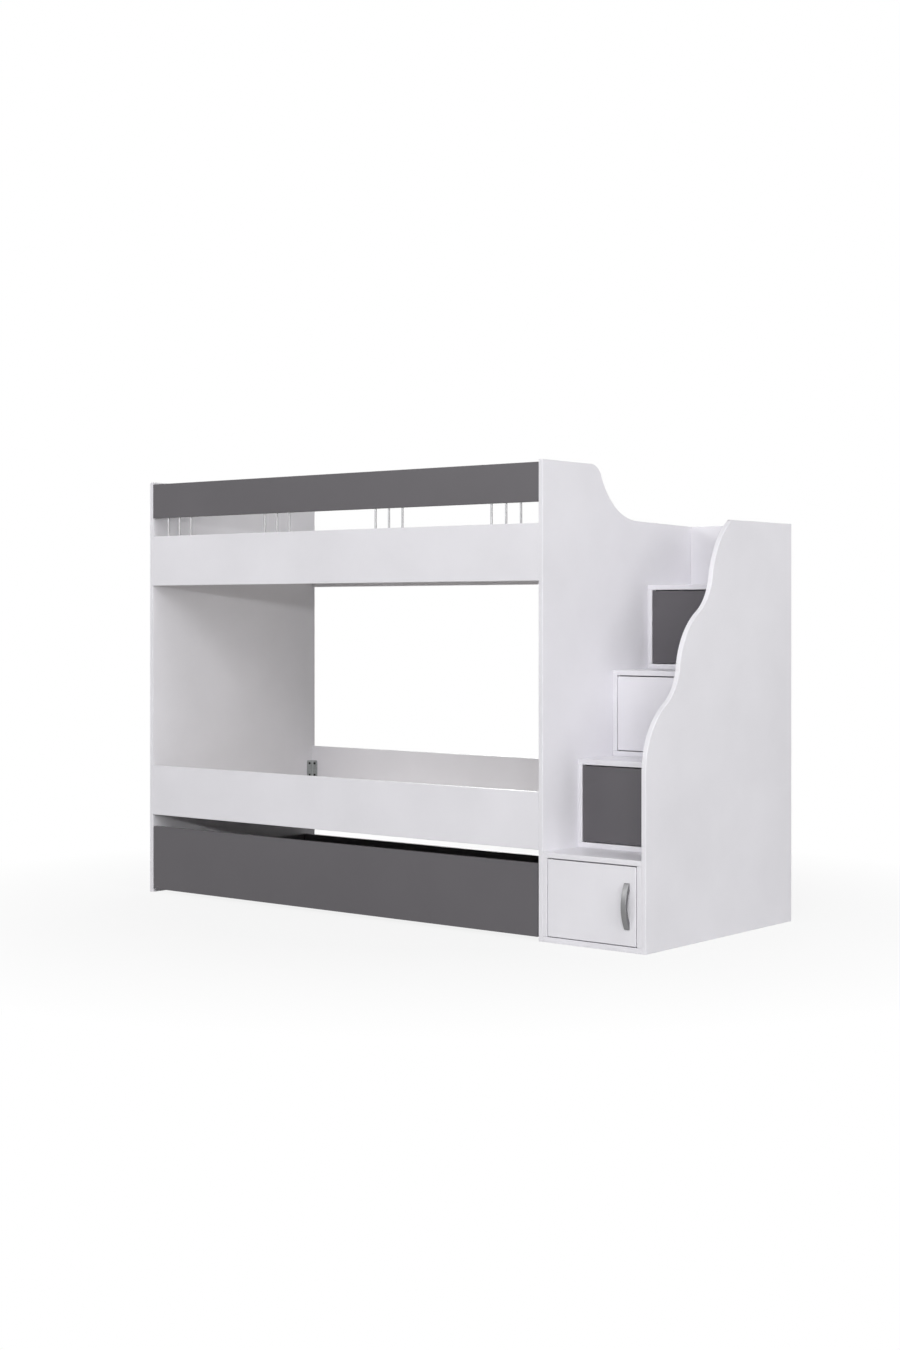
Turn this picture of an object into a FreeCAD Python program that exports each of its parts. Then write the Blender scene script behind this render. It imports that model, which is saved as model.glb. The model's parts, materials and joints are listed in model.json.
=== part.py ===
import FreeCAD, Part
import math
import os
import re
import Sketcher

# Bunk bed with a stair tower of four cupboards and a trundle on castors.
# Lengths are in millimetres. +X runs along the bed towards the stairs, the front faces -Y and Z rises
# from the floor. The origin is on the floor, in the middle of the overall box.

DIMENSIONS = {
    # Boards and the overall shape
    "board": 18.0,
    "bunk_length": 1916.0,
    "bed_depth": 940.0,
    "bed_height": 1631.0,
    "end_panel_rise": 8.0,
    # Rails, guard and rods
    "front_rail_height": 196.0,
    "lower_back_rail_height": 222.0,
    "upper_back_rail_height": 196.0,
    "back_rail_lift": 4.0,
    "lower_rail_level": 309.0,
    "upper_rail_rise": 8.0,
    "guard_gap": 72.0,
    "guard_height": 135.0,
    "rod_diameter": 8.0,
    "rod_seat": 12.0,
    "rod_spacing": 64.0,
    "rod_group_inner": 280.0,
    "rod_group_edge": 145.0,
    # Slats and the ledges that carry them
    "ledge_width": 25.0,
    "ledge_height": 30.0,
    "ledge_lift": 20.0,
    "ledge_screw_edge": 80.0,
    "slat_width": 128.0,
    "slat_thickness": 18.0,
    "slat_bracket_gap": 13.0,
    "slat_end_clearance": 2.0,
    # Corner brackets
    "bracket_leaf": 32.0,
    "bracket_height": 76.0,
    "bracket_steel": 2.5,
    "bracket_ledge_gap": 39.0,
    "bracket_screw_side": 14.0,
    "bracket_screw_edge": 13.0,
    "bracket_screw_diameter": 5.0,
    "bracket_screw_head_diameter": 10.0,
    "bracket_screw_head_height": 3.0,
    # Fasteners
    "screw_diameter": 4.0,
    "screw_head_diameter": 8.0,
    "screw_head_height": 2.4,
    "screw_tip": 3.0,
    "screw_bite": 11.0,
    "fastener_clearance": 0.05,
    "tip_clearance": 0.5,
    "back_screw_diameter": 5.0,
    "back_screw_head_diameter": 10.0,
    "back_screw_head_height": 3.0,
    "back_screw_bite": 32.0,
    "back_screw_inset": 90.0,
    "dowel_diameter": 8.0,
    "dowel_length": 30.0,
    "dowel_seat": 12.0,
    "guard_dowel_edge": 30.0,
    "step_dowel_edge": 60.0,
    "step_screw_edge": 110.0,
    # Stair tower
    "step_width": 399.0,
    "first_going": 203.0,
    "second_going": 210.0,
    "third_going": 222.0,
    "landing_rim": 220.0,
    "wave_start_drop": 16.0,
    "wave_lift": 22.0,
    "wave_crest_radius": 257.0,
    "wave_hollow_radius": 171.0,
    "shoulder_radius": 300.0,
    "shoulder_run": 125.309,
    "shoulder_setback": 170.713,
    "sweep_corner_radius": 65.0,
    "sweep_radius": 250.0,
    "sweep_end": 568.0,
    "sweep_fall": 9.0,
    # Doors, pivots and handles
    "door_side_gap": 3.0,
    "door_bottom_gap": 3.0,
    "door_top_gap": 4.0,
    "pivot_inset": 6.0,
    "pin_diameter": 4.0,
    "pin_door_depth": 20.0,
    "pin_bush_depth": 9.0,
    "pin_end_clearance": 0.3,
    "running_clearance": 0.05,
    "bush_wall": 1.45,
    "bush_floor": 2.7,
    "handle_length": 153.0,
    "handle_width": 20.0,
    "handle_reach": 26.0,
    "handle_bow_thickness": 13.0,
    "handle_end": 5.0,
    "handle_foot": 25.0,
    "handle_edge": 33.5,
    "handle_screw_bite": 6.0,
    # Trundle
    "trundle_floor_gap": 14.0,
    "trundle_top_gap": 46.0,
    "trundle_end_gap": 4.0,
    "trundle_side_inset": 10.0,
    "trundle_back_clearance": 78.0,
    "trundle_side_level": 45.0,
    "trundle_side_height": 118.0,
    # Castors
    "castor_wheel_gap": 9.5,
    "castor_inset_x": 90.0,
    "castor_inset_y": 90.0,
    "castor_steel": 2.5,
    "castor_plate_length": 56.0,
    "castor_cheek_length": 22.0,
    "castor_cheek_drop": 9.0,
    "castor_side_clearance": 0.5,
    "wheel_diameter": 50.0,
    "wheel_width": 22.0,
    "axle_diameter": 6.0,
    "axle_overhang": 1.5,
}

ROD_GROUP_SIZE = 3
SLAT_COUNT = 14
LEDGE_SCREW_COUNT = 5
STEPS = (1, 2, 3, 4)
CASTOR_ENDS = ((-1, 1), (1, 1), (-1, -1), (1, -1))

# What sketches call the ends of an edge, their two axes and their origin
START, END, CENTRE = range(1, 4)
LEVEL_AXIS, HEIGHT_AXIS = range(-1, -3, -1)
ORIGIN = (LEVEL_AXIS, START)

# Places that follow from the dimensions, each written with dimensions and other places
PLACES = {
    "overall_length": "bunk_length + 3 * board + step_width",
    "left_face": "-overall_length / 2",
    "bunk_left": "left_face + board",
    "bunk_right": "bunk_left + bunk_length",
    "bunk_middle": "bunk_left + bunk_length / 2",
    "step_left": "bunk_right + board",
    "step_right": "step_left + step_width",
    "front": "-(bed_depth - handle_reach) / 2",
    "back": "front + bed_depth",
    "bunk_front": "front + board",
    "bunk_back": "back - board",
    "bunk_depth": "bunk_back - bunk_front",
    "guard_level": "bed_height - end_panel_rise - guard_height",
    "upper_rail_level": "guard_level - guard_gap - front_rail_height",
    "landing": "upper_rail_level - upper_rail_rise",
    "step_rise": "landing / 4",
    "stair_top_height": "landing + landing_rim",
    "rod_group_outer": "bunk_length / 2 - rod_group_edge",
    "slat_edge": "bracket_leaf + slat_bracket_gap",
    "bracket_lift": "ledge_lift + ledge_height + bracket_ledge_gap",
    "bracket_screw_out": "bracket_leaf - bracket_screw_side",
    "front_1": "front",
    "front_2": "front_1 + first_going",
    "front_3": "front_2 + second_going",
    "front_4": "front_3 + third_going",
    "door_left": "step_left + board + door_side_gap",
    "door_width": "step_width - 2 * (board + door_side_gap)",
    "door_height": "step_rise - 2 * board - door_bottom_gap - door_top_gap",
    "pivot_x": "door_left + pivot_inset",
    "bush_diameter": "pin_diameter + 2 * running_clearance + 2 * bush_wall",
    "bush_length": "pin_bush_depth + pin_end_clearance + bush_floor",
    "handle_x": "door_left + door_width - handle_edge",
    "handle_grip_gap": "handle_reach - handle_bow_thickness",
    "handle_hole_spacing": "handle_length - handle_foot",
    "wave_start": "2 * step_rise - wave_start_drop",
    "screw_radius": "screw_diameter / 2",
    "screw_hole_radius": "screw_radius + fastener_clearance",
    "bracket_screw_length": "bracket_steel + screw_bite",
    "ledge_screw_length": "ledge_width + screw_bite",
    "step_screw_length": "board + screw_bite",
    "back_screw_length": "board - back_screw_head_height + back_screw_bite",
    "trundle_left": "bunk_left + trundle_end_gap",
    "trundle_length": "bunk_length - 2 * trundle_end_gap",
    "trundle_front_height": "lower_rail_level - trundle_top_gap - trundle_floor_gap",
    "trundle_depth": "bed_depth - trundle_back_clearance",
    "tray_left": "trundle_left + trundle_side_inset + board",
    "tray_length": "trundle_length - 2 * (trundle_side_inset + board)",
    "tray_front": "front + board",
    "tray_back": "front + trundle_depth - board",
    "wheel_radius": "wheel_diameter / 2",
    "axle_radius": "axle_diameter / 2",
    "fork_gap": "wheel_width + 2 * castor_side_clearance",
    "castor_height": "wheel_diameter + castor_wheel_gap + castor_steel",
}

# Turns that point the head of an upright screw, or the far end of an upright pin, along an axis
FACING = {
    "+X": FreeCAD.Rotation(FreeCAD.Vector(0, 1, 0), 90),
    "-X": FreeCAD.Rotation(FreeCAD.Vector(0, 1, 0), -90),
    "+Y": FreeCAD.Rotation(FreeCAD.Vector(1, 0, 0), -90),
    "-Y": FreeCAD.Rotation(FreeCAD.Vector(1, 0, 0), 90),
    "+Z": FreeCAD.Rotation(),
    "-Z": FreeCAD.Rotation(FreeCAD.Vector(1, 0, 0), 180),
}

doc = FreeCAD.newDocument("bunk_bed")
dims = doc.addObject("Spreadsheet::Sheet", "dims")
for row, (alias, size) in enumerate(DIMENSIONS.items(), start=1):
    dims.set("A%d" % row, alias)
    dims.set("B%d" % row, str(size))
    dims.setAlias("B%d" % row, alias)
doc.recompute()

nodes = {}


def formula(words):
    """Spell out places and dimensions as references to the sheet."""
    def spell(match):
        word = match.group(0)
        if word in PLACES:
            return "(" + formula(PLACES[word]) + ")"
        if word in DIMENSIONS:
            return "dims." + word
        return word
    return re.sub(r"[a-z_]+[a-z_0-9]*", spell, words)


def value(words):
    """The present size of a formula in millimetres."""
    return float(dims.evalExpression(formula(words)))


def bind(thing, **sizes):
    for name, words in sizes.items():
        thing.setExpression(name, formula(words))


def put(thing, x, y, z, turn=None):
    """Place a piece by formulas, turned first where a turn is given."""
    if turn is not None:
        thing.Placement = FreeCAD.Placement(FreeCAD.Vector(), turn)
    for axis, words in zip("xyz", (x, y, z)):
        thing.setExpression("Placement.Base." + axis, formula(words))
    return thing


def node(label, thing):
    """Name a finished sub-part."""
    thing.Label = label
    nodes[label] = thing
    return thing


def box(name, corner, size):
    solid = doc.addObject("Part::Box", name)
    bind(solid, Length=size[0], Width=size[1], Height=size[2])
    return put(solid, *corner)


def pin(name, foot, facing, radius, length):
    """A round bar from its foot along an axis."""
    solid = doc.addObject("Part::Cylinder", name)
    bind(solid, Radius=radius, Height=length)
    return put(solid, *foot, turn=FACING[facing])


def copy_of(master, x, y, z, turn=FreeCAD.Rotation()):
    link = doc.addObject("App::Link", master.Name + "_copy")
    link.LinkedObject = master
    link.LinkTransform = True
    return put(link, x, y, z, turn=turn)


def group(name, pieces):
    bundle = doc.addObject("Part::Compound", name)
    bundle.Links = pieces
    return bundle


def fuse(name, pieces):
    union = doc.addObject("Part::MultiFuse", name)
    union.Shapes = pieces
    return union


def drilled(label, blank, tools):
    """A blank with every hole of the given groups cut from it."""
    cut = doc.addObject("Part::Cut", label)
    cut.Base = blank
    cut.Tool = tools[0] if len(tools) == 1 else group(label + "_holes", tools)
    return node(label, cut)


def new_sketch(body, role):
    plane = next(item for item in body.Origin.OriginFeatures if item.Role == role)
    sketch = body.newObject("Sketcher::SketchObject", body.Name + "_outline")
    sketch.AttachmentSupport = [(plane, "")]
    sketch.MapMode = "FlatFace"
    return sketch


def hold(sketch, name, kind, *where):
    """Add a named size to a sketch, bound to its formula, the last argument."""
    words = where[-1]
    index = sketch.addConstraint(Sketcher.Constraint(kind, *where[:-1], value(words)))
    sketch.renameConstraint(index, name)
    sketch.setExpression("Constraints." + name, formula(words))


def line(sketch, start, end):
    return sketch.addGeometry(Part.LineSegment(FreeCAD.Vector(*start), FreeCAD.Vector(*end)))


def arc(sketch, centre, radius, start, end):
    """An arc that turns anticlockwise from start to end."""
    angles = [math.atan2(point[1] - centre[1], point[0] - centre[0]) for point in (start, end)]
    circle = Part.Circle(FreeCAD.Vector(*centre), FreeCAD.Vector(0, 0, 1), radius)
    return sketch.addGeometry(Part.ArcOfCircle(circle, *angles))


def join(sketch, kind, *pairs):
    for first, first_end, second, second_end in pairs:
        sketch.addConstraint(Sketcher.Constraint(kind, first, first_end, second, second_end))


def square_up(sketch, level, upright):
    for edge in level:
        sketch.addConstraint(Sketcher.Constraint("Horizontal", edge))
    for edge in upright:
        sketch.addConstraint(Sketcher.Constraint("Vertical", edge))


def padded(body, sketch, length, both_ways=False):
    pad = body.newObject("PartDesign::Pad", body.Name + "_pad")
    pad.Profile = sketch
    pad.Midplane = both_ways
    pad.setExpression("Length", formula(length))
    body.Tip = pad


# Fasteners

def screw(name, diameter, length, head_diameter, head_height):
    """An upright screw: its head stands on the ground plane and its shank points down to a tip."""
    body = doc.addObject("PartDesign::Body", name)
    sketch = new_sketch(body, "XZ_Plane")
    shank = value(diameter) / 2
    rim = value(head_diameter) / 2
    deep = value(length)
    tip = value("screw_tip")
    crown = value(head_height)
    corners = [(0, -deep), (shank, tip - deep), (shank, 0), (rim, 0)]
    corners += [(rim, crown / 2), (rim / 2, crown), (0, crown)]
    edges = [line(sketch, (*a, 0), (*b, 0)) for a, b in zip(corners, corners[1:] + corners[:1])]
    join(sketch, "Coincident", *[(a, END, b, START) for a, b in zip(edges, edges[1:] + edges[:1])])
    sketch.addConstraint(Sketcher.Constraint("PointOnObject", edges[0], START, HEIGHT_AXIS))
    square_up(sketch, (edges[2], edges[5]), (edges[1], edges[3], edges[6]))
    sketch.addConstraint(Sketcher.Constraint("PointOnObject", edges[2], START, LEVEL_AXIS))
    hold(sketch, "Shank", "DistanceX", *ORIGIN, edges[1], START, diameter + " / 2")
    hold(sketch, "Rim", "DistanceX", *ORIGIN, edges[3], START, head_diameter + " / 2")
    hold(sketch, "Flat", "DistanceX", *ORIGIN, edges[5], START, head_diameter + " / 4")
    hold(sketch, "Crown", "DistanceY", *ORIGIN, edges[5], START, head_height)
    hold(sketch, "Shoulder", "DistanceY", *ORIGIN, edges[3], END, head_height + " / 2")
    hold(sketch, "Tip", "DistanceY", edges[0], START, edges[0], END, "screw_tip")
    hold(sketch, "Depth", "DistanceY", edges[0], START, *ORIGIN, length)
    spin = body.newObject("PartDesign::Revolution", name + "_turned")
    spin.Profile = sketch
    spin.ReferenceAxis = (sketch, ["V_Axis"])
    body.Tip = spin
    return body


def screw_hole(name, diameter, length):
    """The hole below an upright screw."""
    radius = diameter + " / 2 + fastener_clearance"
    return pin(name, ("0", "0", "0"), "-Z", radius, length + " + tip_clearance")


bracket_screw = screw("bracket_screw", "bracket_screw_diameter", "bracket_screw_length",
                      "bracket_screw_head_diameter", "bracket_screw_head_height")
ledge_screw = screw("ledge_screw", "screw_diameter", "ledge_screw_length",
                    "screw_head_diameter", "screw_head_height")
step_screw = screw("step_screw", "screw_diameter", "step_screw_length",
                   "screw_head_diameter", "screw_head_height")
back_screw = screw("back_screw", "back_screw_diameter", "back_screw_length",
                   "back_screw_head_diameter", "back_screw_head_height")
bracket_hole = screw_hole("bracket_hole", "bracket_screw_diameter", "bracket_screw_length")
ledge_hole = screw_hole("ledge_hole", "screw_diameter", "ledge_screw_length")
step_hole = screw_hole("step_hole", "screw_diameter", "step_screw_length")
back_hole = fuse("back_hole", [
    screw_hole("back_shank_hole", "back_screw_diameter", "back_screw_length"),
    pin("back_head_hole", ("0", "0", "0"), "+Z", "back_screw_head_diameter / 2 + fastener_clearance",
        "back_screw_head_height"),
])
dowel = pin("dowel", ("0", "0", "-dowel_seat"), "+Z", "dowel_diameter / 2", "dowel_length")
dowel_hole = pin("dowel_hole", ("0", "0", "-dowel_seat"), "+Z",
                 "dowel_diameter / 2 + fastener_clearance", "dowel_length")


def fastened(name, screws, holes, spots):
    """Screws or dowels at a list of spots, with the holes that they sit in."""
    fasteners = group(name, [copy_of(screws, *spot, turn=FACING[facing]) for *spot, facing in spots])
    return node(name, fasteners), group(name + "_holes", [
        copy_of(holes, *spot, turn=FACING[facing]) for *spot, facing in spots])


# Where the fasteners go

RAIL_LEVELS = ("lower_rail_level", "upper_rail_level")

ledge_spots = []
for level in RAIL_LEVELS:
    height = level + " + ledge_lift + ledge_height / 2"
    for count in range(LEDGE_SCREW_COUNT):
        along = "bunk_left + ledge_screw_edge + %d * (bunk_length - 2 * ledge_screw_edge) / %d" % (
            count, LEDGE_SCREW_COUNT - 1)
        ledge_spots.append((along, "bunk_front + ledge_width", height, "+Y"))
        ledge_spots.append((along, "bunk_back - ledge_width", height, "-Y"))
ledge_screws, ledge_holes = fastened("ledge_screws", ledge_screw, ledge_hole, ledge_spots)

dowel_spots = []
for height in ("guard_level + guard_dowel_edge", "guard_level + guard_height - guard_dowel_edge"):
    dowel_spots.append(("bunk_left", "front + board / 2", height, "+X"))
    dowel_spots.append(("bunk_right", "front + board / 2", height, "-X"))
for step in STEPS:
    for across in ("step_left + board / 2", "step_right - board / 2"):
        for along in ("front_%d + step_dowel_edge" % step, "bunk_back - step_dowel_edge"):
            dowel_spots.append((across, along, "%d * step_rise - board" % step, "-Z"))
dowels, dowel_holes = fastened("dowels", dowel, dowel_hole, dowel_spots)

step_screw_spots = []
for step in STEPS:
    height = "%d * step_rise - step_rise / 2" % step
    for along in ("front_%d + step_screw_edge" % step, "bunk_back - step_screw_edge"):
        step_screw_spots.append(("step_left + board", along, height, "+X"))
        step_screw_spots.append(("step_right - board", along, height, "-X"))
step_screws, step_screw_holes = fastened("step_screws", step_screw, step_hole, step_screw_spots)

back_spots = []
for level in ["board / 2"] + ["%d * step_rise - board / 2" % step for step in STEPS]:
    for across in ("step_left + back_screw_inset", "step_right - back_screw_inset"):
        back_spots.append((across, "back - back_screw_head_height", level, "+Y"))
back_screws, back_holes = fastened("back_panel_screws", back_screw, back_hole, back_spots)


# Corner brackets: one angle, its screws and its holes, copied to the eight corners of the bunks

bracket_screw_levels = ("bracket_screw_edge", "bracket_height - bracket_screw_edge")
leaf_spots = [("bracket_screw_out", "bracket_steel", level, "+Y") for level in bracket_screw_levels]
leaf_spots += [("bracket_steel", "bracket_screw_out", level, "+X") for level in bracket_screw_levels]
angle_blank = fuse("angle_blank", [
    box("angle_leaf_x", ("0", "0", "0"), ("bracket_leaf", "bracket_steel", "bracket_height")),
    box("angle_leaf_y", ("0", "0", "0"), ("bracket_steel", "bracket_leaf", "bracket_height")),
])
angle_screws = group("angle_screws", [copy_of(bracket_screw, *spot, turn=FACING[facing])
                                      for *spot, facing in leaf_spots])
angle_holes = group("angle_holes", [copy_of(bracket_hole, *spot, turn=FACING[facing])
                                    for *spot, facing in leaf_spots])
angle = doc.addObject("Part::Cut", "angle")
angle.Base = angle_blank
angle.Tool = angle_holes

CORNERS = (("bunk_left", "bunk_front", 0), ("bunk_right", "bunk_front", 90),
           ("bunk_right", "bunk_back", 180), ("bunk_left", "bunk_back", 270))


def at_corners(name, master):
    """Copies of one corner fitting at every corner of both bunks."""
    copies = []
    for level in RAIL_LEVELS:
        for x, y, degrees in CORNERS:
            turn = FreeCAD.Rotation(FreeCAD.Vector(0, 0, 1), degrees)
            copies.append(copy_of(master, x, y, level + " + bracket_lift", turn=turn))
    return group(name, copies)


node("corner_brackets", at_corners("corner_brackets", angle))
node("bracket_screws", at_corners("bracket_screws", angle_screws))
bracket_holes = at_corners("bracket_holes", angle_holes)


# Guard rods, in groups of three between the upper front rail and the guard rail

def guard_rods(name, radius):
    rods = []
    for centre in ("-rod_group_outer", "-rod_group_inner", "rod_group_inner", "rod_group_outer"):
        for count in range(ROD_GROUP_SIZE):
            shift = count - (ROD_GROUP_SIZE - 1) / 2
            along = "bunk_middle + %s + %g * rod_spacing" % (centre, shift)
            foot = (along, "front + board / 2", "guard_level - guard_gap - rod_seat")
            rods.append(pin(name + "_rod", foot, "+Z", radius, "guard_gap + 2 * rod_seat"))
    return group(name, rods)


node("guard_rods", guard_rods("guard_rods", "rod_diameter / 2"))
rod_holes = guard_rods("rod_holes", "rod_diameter / 2 + fastener_clearance")


# End panels

def left_end_panel():
    blank = box("left_panel_blank", ("left_face", "front", "0"), ("board", "bed_depth", "bed_height"))
    drilled("left_end_panel", blank, [bracket_holes, dowel_holes])


def between(first, second, share):
    return tuple(a + (b - a) * share for a, b in zip(first, second))


def stair_end_panel():
    """The panel between bed and stairs: its top sweeps down from the guard to the landing."""
    body = doc.addObject("PartDesign::Body", "stair_panel_blank")
    sketch = new_sketch(body, "YZ_Plane")
    depth = value("bed_depth")
    high = value("bed_height")
    low = value("stair_top_height")
    corner_radius = value("sweep_corner_radius")
    sweep_radius = value("sweep_radius")
    both_radii = corner_radius + sweep_radius
    sweep_end = (value("sweep_end"), low + value("sweep_fall"), 0)
    slope = math.atan2(sweep_end[1] - low, depth - sweep_end[0])
    sweep_centre = (sweep_end[0] + sweep_radius * math.sin(slope),
                    sweep_end[1] + sweep_radius * math.cos(slope), 0)
    corner_level = high - corner_radius
    start = sweep_centre[0] - math.sqrt(both_radii ** 2 - (sweep_centre[1] - corner_level) ** 2)
    corner_centre = (start, corner_level, 0)
    bend = between(corner_centre, sweep_centre, corner_radius / both_radii)
    front_edge = line(sketch, (0, high, 0), (0, 0, 0))
    foot = line(sketch, (0, 0, 0), (depth, 0, 0))
    back_edge = line(sketch, (depth, 0, 0), (depth, low, 0))
    low_top = line(sketch, (depth, low, 0), sweep_end)
    sweep = arc(sketch, sweep_centre, sweep_radius, bend, sweep_end)
    corner = arc(sketch, corner_centre, corner_radius, bend, (start, high, 0))
    high_top = line(sketch, (start, high, 0), (0, high, 0))
    join(sketch, "Coincident", (front_edge, END, foot, START), (foot, END, back_edge, START),
         (back_edge, END, low_top, START), (high_top, END, front_edge, START), (foot, START, *ORIGIN))
    join(sketch, "Tangent", (low_top, END, sweep, END), (sweep, START, corner, START),
         (corner, END, high_top, START))
    square_up(sketch, (foot, high_top), (front_edge, back_edge))
    hold(sketch, "Depth", "DistanceX", foot, START, foot, END, "bed_depth")
    hold(sketch, "High", "DistanceY", front_edge, END, front_edge, START, "bed_height")
    hold(sketch, "Low", "DistanceY", back_edge, START, back_edge, END, "stair_top_height")
    hold(sketch, "End", "DistanceX", *ORIGIN, low_top, END, "sweep_end")
    hold(sketch, "Fall", "DistanceY", low_top, START, low_top, END, "sweep_fall")
    hold(sketch, "Corner", "Radius", corner, "sweep_corner_radius")
    hold(sketch, "Sweep", "Radius", sweep, "sweep_radius")
    padded(body, sketch, "board")
    put(body, "bunk_right", "front", "0")
    drilled("stair_end_panel", body, [bracket_holes, dowel_holes, step_screw_holes])


left_end_panel()
stair_end_panel()


# Rails and guard

def rail(label, y, level, tall, holes):
    drilled(label, box(label + "_blank", ("bunk_left", y, level), ("bunk_length", "board", tall)), holes)


rail("lower_front_rail", "front", "lower_rail_level", "front_rail_height", [bracket_holes, ledge_holes])
rail("lower_back_rail", "bunk_back", "lower_rail_level + back_rail_lift", "lower_back_rail_height",
     [bracket_holes, ledge_holes])
rail("upper_front_rail", "front", "upper_rail_level", "front_rail_height",
     [bracket_holes, ledge_holes, rod_holes])
rail("upper_back_rail", "bunk_back", "upper_rail_level + back_rail_lift", "upper_back_rail_height",
     [bracket_holes, ledge_holes])
rail("guard_rail", "front", "guard_level", "guard_height", [rod_holes, dowel_holes])


# Slats and their ledges

def slat_base(bunk, level):
    ledge_size = ("bunk_length", "ledge_width", "ledge_height")
    ledge_level = level + " + ledge_lift"
    ledges = [box(bunk + "_front_ledge", ("bunk_left", "bunk_front", ledge_level), ledge_size),
              box(bunk + "_back_ledge", ("bunk_left", "bunk_back - ledge_width", ledge_level), ledge_size)]
    drilled(bunk + "_slat_ledges", group(bunk + "_ledge_blanks", ledges), [ledge_holes])
    slats = []
    for count in range(SLAT_COUNT):
        along = "bunk_left + slat_edge + %d * (bunk_length - 2 * slat_edge - slat_width) / %d" % (
            count, SLAT_COUNT - 1)
        corner = (along, "bunk_front + slat_end_clearance", ledge_level + " + ledge_height")
        slats.append(box(bunk + "_slat", corner,
                         ("slat_width", "bunk_depth - 2 * slat_end_clearance", "slat_thickness")))
    node(bunk + "_slats", group(bunk + "_slats", slats))


slat_base("lower", "lower_rail_level")
slat_base("upper", "upper_rail_level")


# Stair tower

def side_of(line_start, line_end, start_radius, end_radius):
    """The point at the given distances from two points, on the front side of the line between them."""
    run = (line_end[0] - line_start[0], line_end[1] - line_start[1])
    span = math.hypot(*run)
    along = (start_radius ** 2 - end_radius ** 2 + span ** 2) / (2 * span)
    aside = math.sqrt(start_radius ** 2 - along ** 2)
    unit = (run[0] / span, run[1] / span)
    return (line_start[0] + along * unit[0] - aside * unit[1],
            line_start[1] + along * unit[1] + aside * unit[0], 0)


def outer_stair_panel():
    """The tower's outer panel: its front edge climbs the steps in waves of crests and hollows."""
    body = doc.addObject("PartDesign::Body", "outer_panel_blank")
    sketch = new_sketch(body, "YZ_Plane")
    depth = value("bed_depth")
    top = value("stair_top_height")
    crest = value("wave_crest_radius")
    hollow = value("wave_hollow_radius")
    foot_of_wave = (0, value("wave_start"), 0)
    shoulder = value("shoulder_radius")
    setback = value("shoulder_setback")
    shoulder_end = (value("2 * first_going + shoulder_run"), top, 0)
    shoulder_drop = math.sqrt(shoulder ** 2 - setback ** 2)
    joint = (value("first_going"), value("3 * step_rise + wave_lift"), 0)
    crest_centres = [(crest, foot_of_wave[1], 0)]
    hollow_centres = [side_of(crest_centres[0], joint, crest + hollow, hollow)]
    crest_centres.append(between(hollow_centres[0], joint, (crest + hollow) / hollow))
    shoulder_centre = (shoulder_end[0] + setback, top - shoulder_drop, 0)
    hollow_centres.append(side_of(crest_centres[1], shoulder_centre, crest + hollow, hollow + shoulder))
    joints = [joint, between(hollow_centres[1], shoulder_centre, hollow / (hollow + shoulder))]
    bends = [between(a, b, crest / (crest + hollow)) for a, b in zip(crest_centres, hollow_centres)]
    front_edge = line(sketch, foot_of_wave, (0, 0, 0))
    foot = line(sketch, (0, 0, 0), (depth, 0, 0))
    back_edge = line(sketch, (depth, 0, 0), (depth, top, 0))
    top_edge = line(sketch, (depth, top, 0), shoulder_end)
    crest_arcs = [arc(sketch, centre, crest, upper, lower) for centre, upper, lower in zip(
        crest_centres, bends, [foot_of_wave] + joints)]
    crest_arcs.append(arc(sketch, shoulder_centre, shoulder, shoulder_end, joints[-1]))
    hollow_arcs = [arc(sketch, centre, hollow, lower, upper) for centre, lower, upper in zip(
        hollow_centres, bends, joints)]
    join(sketch, "Coincident", (front_edge, END, foot, START), (foot, END, back_edge, START),
         (back_edge, END, top_edge, START), (top_edge, END, crest_arcs[-1], START), (foot, START, *ORIGIN))
    join(sketch, "Tangent", (front_edge, START, crest_arcs[0], END))
    for count, hollow_arc in enumerate(hollow_arcs):
        join(sketch, "Tangent", (crest_arcs[count], START, hollow_arc, START),
             (hollow_arc, END, crest_arcs[count + 1], END))
    square_up(sketch, (foot, top_edge), (front_edge, back_edge))
    hold(sketch, "Depth", "DistanceX", foot, START, foot, END, "bed_depth")
    hold(sketch, "Top", "DistanceY", back_edge, START, back_edge, END, "stair_top_height")
    hold(sketch, "WaveStart", "DistanceY", front_edge, END, front_edge, START, "wave_start")
    hold(sketch, "Shoulder", "Radius", crest_arcs[-1], "shoulder_radius")
    for count, (crest_arc, hollow_arc) in enumerate(zip(crest_arcs, hollow_arcs)):
        hold(sketch, "Crest%d" % count, "Radius", crest_arc, "wave_crest_radius")
        hold(sketch, "Hollow%d" % count, "Radius", hollow_arc, "wave_hollow_radius")
    hold(sketch, "JoinDepth", "DistanceX", *ORIGIN, hollow_arcs[0], END, "first_going")
    hold(sketch, "JoinHeight", "DistanceY", *ORIGIN, hollow_arcs[0], END, "3 * step_rise + wave_lift")
    hold(sketch, "ShoulderEnd", "DistanceX", *ORIGIN, top_edge, END, "2 * first_going + shoulder_run")
    hold(sketch, "ShoulderSetback", "DistanceX", top_edge, END, crest_arcs[-1], CENTRE, "shoulder_setback")
    padded(body, sketch, "board")
    put(body, "step_right", "front", "0")
    drilled("outer_stair_panel", body, [step_screw_holes])


outer_stair_panel()
stair_back_blank = box("stair_back_blank", ("step_left", "bunk_back", "0"),
                       ("step_width", "board", "stair_top_height"))
drilled("stair_back_panel", stair_back_blank, [back_holes])

bush_sockets = []
bushes = []


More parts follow.
